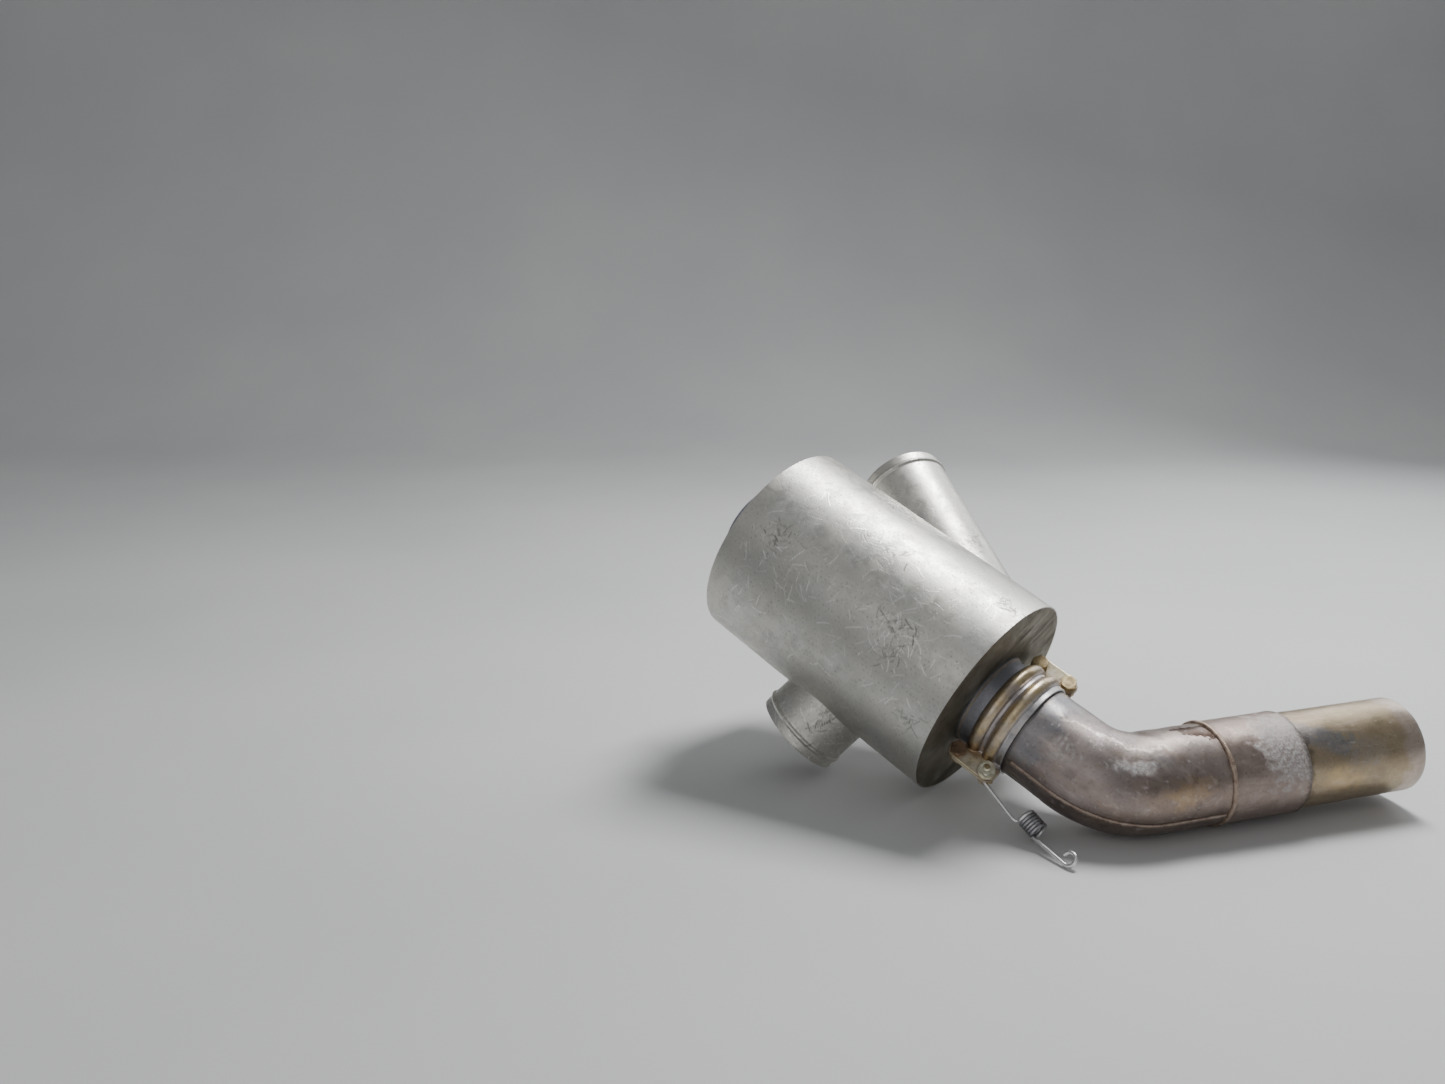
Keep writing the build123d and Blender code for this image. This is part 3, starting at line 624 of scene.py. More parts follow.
def bare_steel(name, light, dark_tone, inside_tone=None):
    """Satin stainless sheet with rolling lines, haze, scratches and dark scuffs."""
    m = Surface(name, 1.0, 0.4, muffler_frame)
    _, bright, dark, haze = m.painted("wear")
    cloud = m.noise(18.0, 5.0, 0.6)
    grain = m.noise(900.0, 3.0, 0.6, stretch=(1.0, 0.08, 0.08))
    mottled = m.noise(120.0, 4.0, 0.65, distortion=0.4)
    fine = m.noise(2600.0, 2.0, 0.5)
    tone = m.ramp(cloud, ((0.3, dark_tone), (0.72, light)))
    tone = m.mix(m.span(mottled, 0.42, 0.72, 0.0, 0.30), tone, tuple(c * 0.78 for c in dark_tone))
    tone = m.mix(m.times(haze, 0.22), tone, (0.58, 0.54, 0.47))
    tone = m.mix(m.times(bright, 0.95), tone, (0.97, 0.96, 0.94))
    tone = m.mix(m.times(dark, 0.82), tone, (0.09, 0.085, 0.075))
    rough = m.span(mottled, 0.3, 0.7, 0.36, 0.50)
    rough = m.math("ADD", rough, m.times(dark, 0.2))
    rough = m.math("SUBTRACT", rough, m.times(bright, 0.10))
    if inside_tone is not None:
        within = m.span(m.radius(), INSIDE_RADIUS - 0.4 * MM, INSIDE_RADIUS, 1.0, 0.0)
        stain = m.ramp(m.noise(55.0, 5.0, 0.6, offset=0.3), inside_tone)
        tone = m.mix(within, tone, stain)
        rough = m.math("ADD", rough, m.times(within, 0.12))
    m.colour(tone)
    m.rough(rough)
    m.bump(
        (grain, 0.00002),
        (mottled, 0.00005),
        (fine, 0.00001),
        (m.math("SUBTRACT", dark, bright), 0.00008),
    )
    return m.material


INSIDE_RADIUS = 72.2 * MM
OLIVE = ((0.30, (0.26, 0.235, 0.19)), (0.52, (0.36, 0.335, 0.27)), (0.72, (0.44, 0.42, 0.38)))
shroud_sheet = bare_steel("bare_shroud_sheet", (0.58, 0.575, 0.545), (0.45, 0.445, 0.42), OLIVE)
stand_for(shroud, ["shroud_shell"], "muffler", "shroud_steel", shroud_sheet)

# ---- Duct spuds ----


SINK, SHORTEST = 0.1, 0.8
BEAD_START, BEAD_END, BEAD_HEIGHT = 6, 10, 1.3
SPUD_PATCHES = ((25.0, 90.0, 20.0, 30.0), (60.0, 250.0, 25.0, 30.0))
SPUD_SCUFFS = ((30.0, 60.0, 9.0, 5.0), (62.0, 200.0, 10.0, 5.0), (90.0, 300.0, 10.0, 5.0))


def spud_stop(rim, direction, up, across):
    """How deep a spud's wall runs, at each angle, before it meets the shroud."""

    def stop(radius, angles):
        a = np.radians(angles)[..., None]
        start = rim + radius[..., None] * MM * (up * np.cos(a) + across * np.sin(a))
        w = start - np.array(RIM)
        w = w - (w @ AXIS)[..., None] * AXIS
        step = -direction + (direction @ AXIS) * AXIS
        square = step @ step
        cross = 2 * (w @ step)
        rest = (w * w).sum(-1) - ((SHROUD_RADIUS - SINK) * MM) ** 2
        root = np.maximum(cross * cross - 4 * square * rest, 0)
        return np.maximum((-cross - np.sqrt(root)) / (2 * square) / MM, SHORTEST)

    return stop


def make_spud(name, node, mouth, length, seed, material):
    """A thin duct spud with its hose bead and wear; returns the line where it meets the shroud."""
    rim, direction = mouth
    across = unit(np.cross(direction, AXIS))
    up = np.cross(across, direction)
    step = 0.8
    stretches = ((0, BEAD_START, 0.6), (BEAD_START, BEAD_END, 0.25), (BEAD_END, length, step))
    depths = np.unique(np.concatenate([spaced(*stretch) for stretch in stretches]))
    swell = np.clip((depths - BEAD_START) / (BEAD_END - BEAD_START), 0, 1)
    on_bead = (depths > BEAD_START) & (depths < BEAD_END)
    lift = np.where(on_bead, BEAD_HEIGHT * np.sin(swell * pi) ** 1.4, 0)
    turns = around(SPUD_RADIUS, step)
    s = np.concatenate([depths, depths[::-1]])
    r = np.concatenate([SPUD_RADIUS + lift, (SPUD_RADIUS - SPUD_WALL + lift)[::-1]])
    r[0] -= 0.2
    r[-1] += 0.15
    stations, angles = np.meshgrid(s, turns, indexing="ij")
    radius = np.repeat(r[:, None], len(turns), 1)
    radius = radius + 0.06 * bump_noise(stations, angles, SPUD_RADIUS, 45.0, seed, 2)
    stop = spud_stop(rim, direction, up, across)
    stations = np.minimum(stations, stop(radius, angles))
    a = np.radians(angles)[..., None]
    points = (
        rim
        - direction * stations[..., None] * MM
        + radius[..., None] * MM * (up * np.cos(a) + across * np.sin(a))
    )
    piece = make_object(name, points.reshape(-1, 3), grid_faces(len(s), len(turns), close_rows=True))
    marks = worn_sheet(stations, angles, SPUD_RADIUS, seed, SPUD_PATCHES, SPUD_SCUFFS, 0.45)
    paint(piece, "wear", marks.reshape(-1, 4))
    clean = bmesh.new()
    clean.from_mesh(piece.data)
    bmesh.ops.remove_doubles(clean, verts=clean.verts, dist=0.00002)
    bmesh.ops.dissolve_degenerate(clean, edges=clean.edges, dist=0.000005)
    bmesh.ops.recalc_face_normals(clean, faces=clean.faces)
    clean.to_mesh(piece.data)
    clean.free()
    smooth(piece.data, 55)
    stand_for(piece, [node], "muffler", "spud_steel", material)
    seam_turns = np.arange(0, 360, 2.0)
    end = stop(np.full(len(seam_turns), SPUD_RADIUS), seam_turns)
    b = np.radians(seam_turns)[:, None]
    return (
        rim
        - direction * (end[:, None] + SINK) * MM
        + (SPUD_RADIUS + SINK) * MM * (up * np.cos(b) + across * np.sin(b))
    )


def ring_bead(name, p, radius, seed, sides=10, ripple=0.12):
    """A weld bead on a closed line of points lying on the shroud."""
    tangent = np.roll(p, -1, 0) - np.roll(p, 1, 0)
    tangent /= np.linalg.norm(tangent, axis=1)[:, None]
    _, _, out = radial(p)
    across = np.cross(tangent, out)
    across /= np.linalg.norm(across, axis=1)[:, None]
    rng = np.random.default_rng(seed)
    size = radius * (1 + ripple * rng.standard_normal(len(p)))
    turn = np.arange(sides) * 2 * pi / sides
    ring = p[:, None, :] + size[:, None, None] * MM * (
        out[:, None, :] * np.cos(turn)[None, :, None] * 0.7
        + across[:, None, :] * np.sin(turn)[None, :, None]
    )
    return make_object(name, ring.reshape(-1, 3), grid_faces(len(p), sides, close_rows=True))


spud_sheet = bare_steel("bare_spud_sheet", (0.66, 0.65, 0.61), (0.52, 0.51, 0.48))
spud_seams = [
    make_spud("lower_spud_skin", "lower_spud", LOWER_MOUTH, 46.0, 41, spud_sheet),
    make_spud("upper_spud_skin", "upper_spud", UPPER_MOUTH, 150.0, 57, spud_sheet),
]


def weld_metal(name, low, high, rough):
    """Rippled, slightly oxidised weld metal."""
    m = Surface(name, 0.95, rough, muffler_frame)
    cloud = m.noise(160.0, 4.0, 0.6)
    pits = m.noise(1400.0, 3.0, 0.6)
    m.colour(m.ramp(cloud, ((0.32, low), (0.7, high))))
    m.rough(m.span(cloud, 0.3, 0.7, rough - 0.08, rough + 0.1))
    m.bump((cloud, 0.00008), (pits, 0.00004))
    return m.material


tack = weld_metal("spud_tack_weld", (0.36, 0.34, 0.31), (0.60, 0.58, 0.55), 0.42)
for name, seam, seed in zip(("lower_spud_weld", "upper_spud_weld"), spud_seams, (3, 4)):
    stand_for(ring_bead(name, seam, 0.55, seed), [], "muffler", "weld_steel", tack)

# ---- Inside parts that stay as the CAD has them ----


def dress(material, *nodes):
    """Gives CAD nodes their material."""
    for node in nodes:
        skin = frame["nodes"][node].data.materials
        skin.clear()
        skin.append(material)


def burnt_steel(name, stops, low, high, rough=0.55):
    """Heat-stained steel whose colour runs with the distance from the axis, in millimetres."""
    m = Surface(name, 0.9, rough, muffler_frame)
    far = m.span(m.radius(), low * MM, high * MM)
    cloud = m.noise(60.0, 5.0, 0.6, distortion=0.6)
    fleck = m.noise(700.0, 4.0, 0.7)
    shift = m.math("ADD", far, m.times(m.math("SUBTRACT", cloud, 0.5), 0.55))
    tone = m.ramp(shift, stops)
    tone = m.mix(m.span(fleck, 0.45, 0.75, 0.0, 0.45), tone, (0.13, 0.10, 0.085))
    m.colour(tone)
    m.rough(m.span(cloud, 0.3, 0.7, rough - 0.1, rough + 0.1))
    m.bump((cloud, 0.0001), (fleck, 0.00004))
    return m.material


END_STOPS = (
    (0.0, (0.16, 0.17, 0.20)),
    (0.25, (0.17, 0.16, 0.165)),
    (0.5, (0.14, 0.105, 0.085)),
    (0.8, (0.10, 0.07, 0.05)),
    (1.0, (0.22, 0.12, 0.07)),
)
dress(burnt_steel("browned_end", END_STOPS, 32.0, 62.0), "inlet_cone", "outlet_cone")
for name, inner_tone, outer_tone, low, high, rough, nodes in (
    ("browned_can", (0.19, 0.15, 0.12), (0.31, 0.25, 0.20), 55.0, 70.0, 0.55, ["can_shell"]),
    (
        "blued_collar", (0.27, 0.29, 0.34), (0.36, 0.33, 0.33), 29.0, 36.0, 0.45,
        ["inlet_collar", "outlet_collar"],
    ),
    (
        "sooted_inner", (0.09, 0.08, 0.075), (0.20, 0.17, 0.15), 20.0, 62.0, 0.75,
        ["perforated_tube", "inlet_baffle", "outlet_baffle"],
    ),
    (
        "rusty_clip", (0.36, 0.31, 0.32), (0.38, 0.25, 0.15), 62.0, 72.0, 0.6,
        ["inlet_standoff_clips", "outlet_standoff_clips"],
    ),
):
    dress(burnt_steel(name, ((0.2, inner_tone), (0.8, outer_tone)), low, high, rough), *nodes)
bright_rivet = weld_metal("bright_rivet", (0.55, 0.54, 0.52), (0.78, 0.78, 0.76), 0.35)
dress(bright_rivet, "inlet_clip_rivets", "outlet_clip_rivets")
dress(weld_metal("collar_weld", (0.20, 0.17, 0.15), (0.38, 0.33, 0.29), 0.55), "collar_welds")

# ---- Pieces softened from their CAD shapes ----


def copied(name, nodes, cleaned=False):
    """A new piece holding a copy of CAD nodes, with flat faces merged when it is cleaned."""
    joined = bmesh.new()
    for node in nodes:
        joined.from_mesh(frame["nodes"][node].data)
    if cleaned:
        bmesh.ops.remove_doubles(joined, verts=joined.verts, dist=0.000004)
        bmesh.ops.dissolve_limit(
            joined, angle_limit=radians(1.5), verts=joined.verts, edges=joined.edges
        )
    mesh = bpy.data.meshes.new(name)
    joined.to_mesh(mesh)
    joined.free()
    return link_mesh(name, mesh)


def settled(piece, sharp=None):
    """Applies a piece's modifiers and leaves it smooth, with no material."""
    graph = bpy.context.evaluated_depsgraph_get()
    made = bpy.data.meshes.new_from_object(piece.evaluated_get(graph))
    piece.modifiers.clear()
    piece.data = made
    made.materials.clear()
    smooth(made, sharp)


def softened(name, nodes, voxel, rounds, body, slot, material):
    """A fine even mesh of CAD nodes with their edges eased, standing for them."""
    piece = copied(name, nodes)
    remesh = piece.modifiers.new("even", "REMESH")
    remesh.mode = "VOXEL"
    remesh.voxel_size = voxel * MM * 1.0
    ease = piece.modifiers.new("ease", "SMOOTH")
    ease.iterations = rounds
    ease.factor = 0.5
    settled(piece)
    stand_for(piece, nodes, body, slot, material)
    return piece


def crisp(name, nodes, ease, body, slot, *materials):
    """CAD nodes with small rounded edges on their corners, standing for them."""
    piece = copied(name, nodes, cleaned=True)
    bevel = piece.modifiers.new("ease", "BEVEL")
    bevel.width = ease * MM
    bevel.segments = 3
    bevel.limit_method = "ANGLE"
    bevel.angle_limit = radians(22)
    settled(piece, 28)
    stand_for(piece, nodes, body, slot, *materials)
    return piece


def local_points(parts, what="co"):
    """Places of a mesh's points or faces in the muffler's frame, in millimetres."""
    points = np.empty(len(parts) * 3)
    parts.foreach_get(what, points)
    back = np.array(muffler_frame.inverted())
    return (points.reshape(-1, 3) @ back[:3, :3].T + back[:3, 3]) / MM


def set_local_points(mesh, local):
    """Puts back points given in the muffler's frame, in millimetres."""
    forward = np.array(muffler_frame)
    points = (local * MM) @ forward[:3, :3].T + forward[:3, 3]
    mesh.vertices.foreach_set("co", points.ravel())
    mesh.update()


def clouds(points, size, seed, octaves=3):
    """Smooth noise in space, about -1 to 1, with features of size millimetres."""
    rng = np.random.default_rng(seed)
    total = np.zeros(len(points))
    weight = 1.0
    for _ in range(octaves):
        for _ in range(10):
            wave = rng.normal(0, 1, 3)
            wave *= 2 * pi / size / np.linalg.norm(wave) * rng.uniform(0.6, 1.4)
            total += weight * np.sin(points @ wave + rng.uniform(0, 2 * pi)) / 2.2
        weight *= 0.55
        size *= 0.5
    return total / 1.7


def soft(value, low, high):
    """A smooth step from 0 at low to 1 at high."""
    t = np.clip((value - low) / (high - low), 0, 1)
    return t * t * (3 - 2 * t)


def over(base, mask, colour):
    """Lays a colour over others where a mask is 1."""
    mask = np.clip(mask, 0, 1)[..., None]
    return base * (1 - mask) + np.array(colour) * mask


def heat_tinted(name, at, rough=0.42, fleck_tone=(0.10, 0.075, 0.06), grain_scale=500.0):
    """Steel coloured by heat: painted tint with any painted highlight and shade in it, deposits,
    stains, dirt with painted shadow, and fine mottling.
    """
    m = Surface(name, 1.0, rough, at)
    tint, _, _, _ = m.painted("tint")
    _, chalk, gloss, dirt_and_shade = m.painted("marks")
    cloud = m.noise(45.0, 6.0, 0.62, distortion=0.5)
    fleck = m.noise(grain_scale, 5.0, 0.72)
    streak = m.noise(160.0, 5.0, 0.6, stretch=(0.25, 1.0, 1.0), distortion=0.3)
    fine = m.noise(2400.0, 3.0, 0.6)
    crust = m.noise(900.0, 6.0, 0.75, distortion=1.2)
    tone = m.mix(m.span(cloud, 0.35, 0.7, 0.0, 0.35), tint, (0.26, 0.21, 0.19))
    tone = m.mix(m.span(streak, 0.5, 0.75, 0.0, 0.28), tone, (0.60, 0.52, 0.45))
    tone = m.mix(m.span(fleck, 0.5, 0.78, 0.0, 0.55), tone, fleck_tone)
    # Darkens by the stored dirt and painted shadow in the third marks channel.
    tone = m.mix(m.times(dirt_and_shade, 0.75), tone, (0.07, 0.06, 0.055))
    tone = m.mix(m.times(gloss, 0.85), tone, (0.12, 0.075, 0.055))
    flaky = m.times(chalk, m.span(crust, 0.34, 0.52))
    powder = m.times(chalk, 0.45)
    cover = m.math("MAXIMUM", flaky, powder)
    tone = m.mix(cover, tone, m.ramp(crust, ((0.35, (0.38, 0.37, 0.37)), (0.62, (0.62, 0.61, 0.61)))))
    m.colour(tone)
    base = m.math("ADD", m.span(cloud, 0.3, 0.7, rough - 0.07, rough + 0.08), m.times(cover, 0.3))
    m.rough(m.math("SUBTRACT", base, m.times(gloss, 0.2)))
    m.metal(m.math("SUBTRACT", 0.92, m.times(cover, 0.85)))
    m.bump(
        (cloud, 0.00012),
        (fleck, 0.00005),
        (fine, 0.00001),
        (m.times(chalk, crust), 0.0003),
        (gloss, 0.00005),
    )
    return m.material


# ---- Bead clamp ----


def tint_clamp(piece, seed):
    """Gold on the beads, lavender grey between them, pale plated ears, burnt roots and a painted
    shadow ring round each bolt on the ears.
    """
    p = local_points(piece.data.vertices)
    x, far = p[:, 0], np.hypot(p[:, 1], p[:, 2])
    ear = soft(np.abs(p[:, 1]), 36.2, 39.5) * soft(5.0 - np.abs(p[:, 2]), 0.0, 1.5)
    base = np.tile(np.array([0.43, 0.40, 0.40]), (len(p), 1))
    crest = soft(far, 34.0, 36.4)
    wobble = clouds(p, 16.0, seed)
    base = over(base, crest * (0.75 + 0.35 * wobble), (0.56, 0.44, 0.25))
    base = over(base, soft(far, 36.6, 37.3) * 0.6, (0.70, 0.61, 0.45))
    base = over(base, soft(x, SHROUD_LENGTH + 31.0, SHROUD_LENGTH + 33.0) * 0.8, (0.40, 0.40, 0.42))
    base = over(base, soft(SHROUD_LENGTH + 12.5 - x, -1.0, 1.0) * 0.7, (0.36, 0.29, 0.22))
    base = over(base, ear, (0.70, 0.62, 0.44))
    base = over(base, ear * soft(clouds(p, 9.0, seed + 1), 0.1, 0.9) * 0.6, (0.76, 0.72, 0.62))
    root = soft(4.0 - np.abs(np.abs(p[:, 1]) - 37.0), 0.0, 3.5) * (np.abs(p[:, 2]) < 9)
    base = over(base, root * (0.55 + 0.4 * wobble), (0.34, 0.24, 0.13))
    # Painted shadow: a dark ring round each bolt head on the ears.
    for station in BOLT_STATIONS:
        ring = np.hypot(x - station, np.abs(p[:, 1]) - BOLT_REACH)
        base = over(base, ear * soft(6.9 - ring, 0.0, 1.0) * 0.45, (0.30, 0.22, 0.14))
    paint(piece, "tint", np.c_[base, np.ones(len(p))])
    chips = soft(clouds(p, 4.0, seed + 2), 0.75, 1.3)
    dirt = soft(clouds(p, 6.0, seed + 3), 0.6, 1.3) * (0.4 + 0.6 * root)
    paint(piece, "marks", np.c_[chips * 0.12, np.zeros(len(p)), dirt * 0.7, np.ones(len(p))])


clamp_metal = heat_tinted("clamp_heat_tint_and_shadow", muffler_frame, 0.36, (0.16, 0.11, 0.07), 650.0)
for side, seed in (("front", 70), ("rear", 80)):
    band, node = f"clamp_band_{side}", f"clamp_half_{side}"
    tint_clamp(softened(band, [node], 0.36, 5, "clamp", "clamp_steel", clamp_metal), seed)

# ---- Fasteners ----

EAR_FACE, WASHER, NUT, TIP = 2.2, 0.8, 4.6, 1.6
CLAMP_SPOTS = (*((station, BOLT_REACH) for station in BOLT_STATIONS), (BOLT_STATIONS[0], -BOLT_REACH))
SPRING_SPOT = (BOLT_STATIONS[1], -BOLT_REACH)
THREAD_START = EAR_FACE + WASHER + NUT + 0.1
PITCH, CREST, ROOT = 0.79, 2.38, 2.02
SHANK_REACH, TIP_SHRINK = 3.2, 0.8


def plated(name, light, dark_tone, rough=0.38):
    """Plated steel hardware with worn corners and grime."""
    m = Surface(name, 1.0, rough, muffler_frame)
    cloud = m.noise(260.0, 5.0, 0.65, distortion=0.5)
    fleck = m.noise(1900.0, 4.0, 0.7)
    geometry = m.tree.nodes.new("ShaderNodeNewGeometry")
    edge = m.span(geometry.outputs["Pointiness"], 0.50, 0.56)
    tone = m.ramp(cloud, ((0.34, dark_tone), (0.62, light)))
    tone = m.mix(m.span(fleck, 0.5, 0.72, 0.0, 0.5), tone, tuple(c * 0.4 for c in dark_tone))
    tone = m.mix(m.times(edge, 0.5), tone, tuple(min(1.0, c * 1.35) for c in light))
    m.colour(tone)
    m.rough(m.span(cloud, 0.3, 0.7, rough - 0.08, rough + 0.12))
    m.bump((cloud, 0.00006), (fleck, 0.00003))
    return m.material


gold_plate = plated("gold_plated_bolt", (0.74, 0.60, 0.36), (0.48, 0.36, 0.20))
brown_plate = plated("burnt_bolt", (0.30, 0.21, 0.14), (0.15, 0.10, 0.07), 0.5)
pale_plate = plated("pale_plated_nut", (0.76, 0.74, 0.62), (0.50, 0.46, 0.33))


def bolt_set(name, node, spots, materials, tip_side):
    """Eased bolts with each shank's plain tip drawn in under its thread."""
    mesh = crisp(name, [node], 0.22, "clamp", "bolt_steel", *materials).data
    p = local_points(mesh.vertices)
    for spot in spots:
        near = np.hypot(p[:, 0] - spot[0], p[:, 1] - spot[1])
        tip = (near < SHANK_REACH) & (p[:, 2] * tip_side > THREAD_START)
        for axis in (0, 1):
            p[tip, axis] = spot[axis] + (p[tip, axis] - spot[axis]) * TIP_SHRINK
    set_local_points(mesh, p)
    if len(materials) > 1:
        lower = local_points(mesh.polygons, "center")[:, 1] < 0
        mesh.polygons.foreach_set("material_index", lower.astype(int))


def thread(name, spot, side, material):
    """The cut thread of a bolt's tip, with a chamfered flat end."""
    spot = np.array(spot)
    start, end = THREAD_START - 0.4, THREAD_START + TIP - 0.1
    heights = spaced(start, end, 0.07)
    turns = np.arange(0, 360, 7.5)
    h, a = np.meshgrid(heights, turns, indexing="ij")
    phase = (h / PITCH - a / 360.0) % 1.0
    r = ROOT + (CREST - ROOT) * np.clip(1.6 * (1 - np.abs(2 * phase - 1)) - 0.2, 0, 1)
    r = np.minimum(r, ROOT - 0.15 + (end - h) * 1.1)
    a = np.radians(a)
    rows = [np.stack([spot[0] + r * np.cos(a), spot[1] + r * np.sin(a), side * h], -1)]
    for shrink in (0.9, 0.5, 0.02):
        cap = rows[0][-1:].copy()
        cap[..., :2] = spot + (cap[..., :2] - spot) * shrink
        rows.append(cap)
    grid = np.concatenate(rows, 0)
    points = [place(*q) for q in grid.reshape(-1, 3)]
    piece = make_object(name, points, grid_faces(*grid.shape[:2]))
    smooth(piece.data, 35)
    stand_for(piece, [], "clamp", "bolt_steel", material)


bolt_set("clamp_bolt_set", "clamp_bolts", CLAMP_SPOTS, (gold_plate, brown_plate), -1)
bolt_set("spring_bolt_piece", "spring_bolt", (SPRING_SPOT,), (gold_plate,), 1)
for index, spot in enumerate(CLAMP_SPOTS):
    thread(f"bolt_thread_{index + 1}", spot, -1, gold_plate if spot[1] > 0 else brown_plate)
thread("spring_bolt_thread", SPRING_SPOT, 1, pale_plate)
for name, node, slot, material in (
    ("clamp_nut_set", "clamp_nuts", "nut_steel", gold_plate),
    ("clamp_washer_set", "clamp_washers", "washer_steel", gold_plate),
    ("spring_nut_piece", "spring_bolt_nut", "nut_steel", pale_plate),
    ("spring_washer_piece", "spring_bolt_washer", "washer_steel", pale_plate),
):
    crisp(name, [node], 0.18, "clamp", slot, material)

# ---- Tailpipe ----

ELBOW_END = TAIL_ZERO + ELBOW_TANGENT
PIPE_STEP = 0.7


def from_rim(s):
    """Stations counted from the shroud's outlet rim."""
    return s - SHROUD_LENGTH


LINE_AT = [40, 52, 62, 76, 96, 117, 130]
LINE_TURNS = [96, 99, 91, 85, 88, 87, 92]


def off_line(x, angles, wobble):
    """How far points are from the pale line along the elbow, in millimetres."""
    aside = wrapped(angles, np.interp(x, LINE_AT, LINE_TURNS))
    return np.abs(np.radians(aside) * PIPE_RADIUS + wobble)


def line_fade(x):
    """Where along the elbow the pale line shows."""
    return soft(x, 42, 50) * soft(128 - x, 0, 14)


def marks_of(chalk, gloss, dirt_and_shade):
    """The stored marks: chalky deposit, glossy stain, and dirt with painted shadow."""
    return np.stack([chalk, gloss, dirt_and_shade, np.ones_like(chalk)], -1)


def paint_heat(piece, tint, marks, inside, dim):
    """Stores a tube's heat colours with their painted highlight and shade, and its marks, darker and
    cleaner on its inside rows.
    """
    tint[inside] *= dim
    marks[inside, :, :2] = 0
    solid = np.ones((*tint.shape[:2], 1))
    paint(piece, "tint", np.concatenate([tint, solid], -1).reshape(-1, 4))
    paint(piece, "marks", marks.reshape(-1, 4))


def tint_elbow(s, angles):
    """Heat colours over the elbow: blue grey by the clamp, mauve, then brown, with a painted highlight
    along the top and painted shade on the underside.
    """
    x = from_rim(s)
    wob = bump_noise(s, angles, PIPE_RADIUS, 26.0, 301)
    wob2 = bump_noise(s, angles, PIPE_RADIUS, 12.0, 302)
    base = np.tile(np.array([0.31, 0.31, 0.33]), (*s.shape, 1))
    base = over(base, soft(x + 7 * wob, 46, 64), (0.37, 0.32, 0.31))
    base = over(base, soft(x + 8 * wob, 80, 104), (0.38, 0.30, 0.26))
    # Painted highlight: a lighter pinkish grey band along the top of the elbow.
    painted_highlight = soft(60 - np.abs(wrapped(angles, 78)) + 18 * wob, 0, 45)
    base = over(base, painted_highlight * soft(x, 50, 66) * 0.7, (0.47, 0.415, 0.40))
    # Painted shade: darker on the underside, away from the light.
    low = soft(np.abs(wrapped(angles, 60)) - 88 + 10 * wob, 0, 40)
    base = over(base, low * 0.55, (0.24, 0.185, 0.165))
    for oval, ragged, low, high, strength, tone in (
        ((124, 143, 24, 14, -10), 0.18 * wob2, 0.1, 0.75, 0.85, (0.52, 0.375, 0.235)),
        ((80, 150, 26, 10), 0.2 * wob2, 0.15, 0.8, 0.5, (0.45, 0.36, 0.31)),
        ((110, 103, 12, 7), 0.2 * wob2, 0.1, 0.7, 0.6, (0.25, 0.25, 0.27)),
        ((100, -80, 34, 26, 20), 0.2 * wob, 0.1, 0.7, 0.6, (0.48, 0.36, 0.24)),
    ):
        patch = blob(x, angles, PIPE_RADIUS, *oval)
        base = over(base, soft(patch + ragged, low, high) * strength, tone)
    base = over(base, soft(x, 147, 156) * 0.6, (0.44, 0.36, 0.31))
    line = soft(1.7 - off_line(x, angles, 1.5 * wob2), 0, 1.2) * line_fade(x)
    return over(base * 0.74, line * 0.75, (0.62, 0.58, 0.52))


def mark_elbow(s, angles):
    """Chalky scale, a glossy oil stain, dirt and a painted shadow along the clamp's edge on the elbow.
    """
    wob = bump_noise(s, angles, PIPE_RADIUS, 9.0, 311)
    rag = bump_noise(s, angles, PIPE_RADIUS, 3.2, 312)
    x = from_rim(s)
    line = np.clip(1.3 - off_line(x, angles, 1.5 * wob) / 0.9, 0, 1) * line_fade(x)
    line *= 0.25 * np.clip(rag + 0.4, 0, 1)
    scale = blob(x, angles, PIPE_RADIUS, 97, 113, 17, 7, -8)
    scale = soft(scale + 0.16 * wob, 0.12, 0.75) * np.clip(0.62 + 0.16 * rag, 0.3, 0.85)
    little = blob(x, angles, PIPE_RADIUS, 62, 128, 20, 16, 0)
    little = soft(little + 0.2 * wob, 0.35, 0.9) * np.clip(0.2 + 0.2 * rag, 0, 0.5)
    far = soft(rag + 0.5 * wob, 1.5, 1.9) * 0.35
    chalk = np.maximum.reduce([line * 0.85, scale, little, far])
    stain = blob(x, angles, PIPE_RADIUS, 147, 68, 22, 10, 24)
    stain = soft(stain + 0.22 * wob, 0.22, 0.42) * soft(stain, 0.02, 0.15)
    dirt = soft(bump_noise(s, angles, PIPE_RADIUS, 14.0, 313), 0.4, 1.7) * 0.35
    seam = soft(2.6 - (180 - np.abs(wrapped(angles, 0))) / 57.3 * PIPE_RADIUS, 0, 2.2)
    # Painted shadow: the elbow darkened under and just past the clamp's edge.
    edge = soft(38.5 - x, 0, 1.5) * 0.8
    return marks_of(chalk, stain, np.maximum.reduce([dirt, seam * 0.5, edge]))


def elbow_lift(s, angles):
    """Small dents and the seams' slight pinch, in millimetres."""
    wave = 0.16 * bump_noise(s, angles, PIPE_RADIUS, 34.0, 321, 2)
    fade = soft(from_rim(s), 38, 50) * soft(156 - from_rim(s), 0, 8)
    return wave * fade


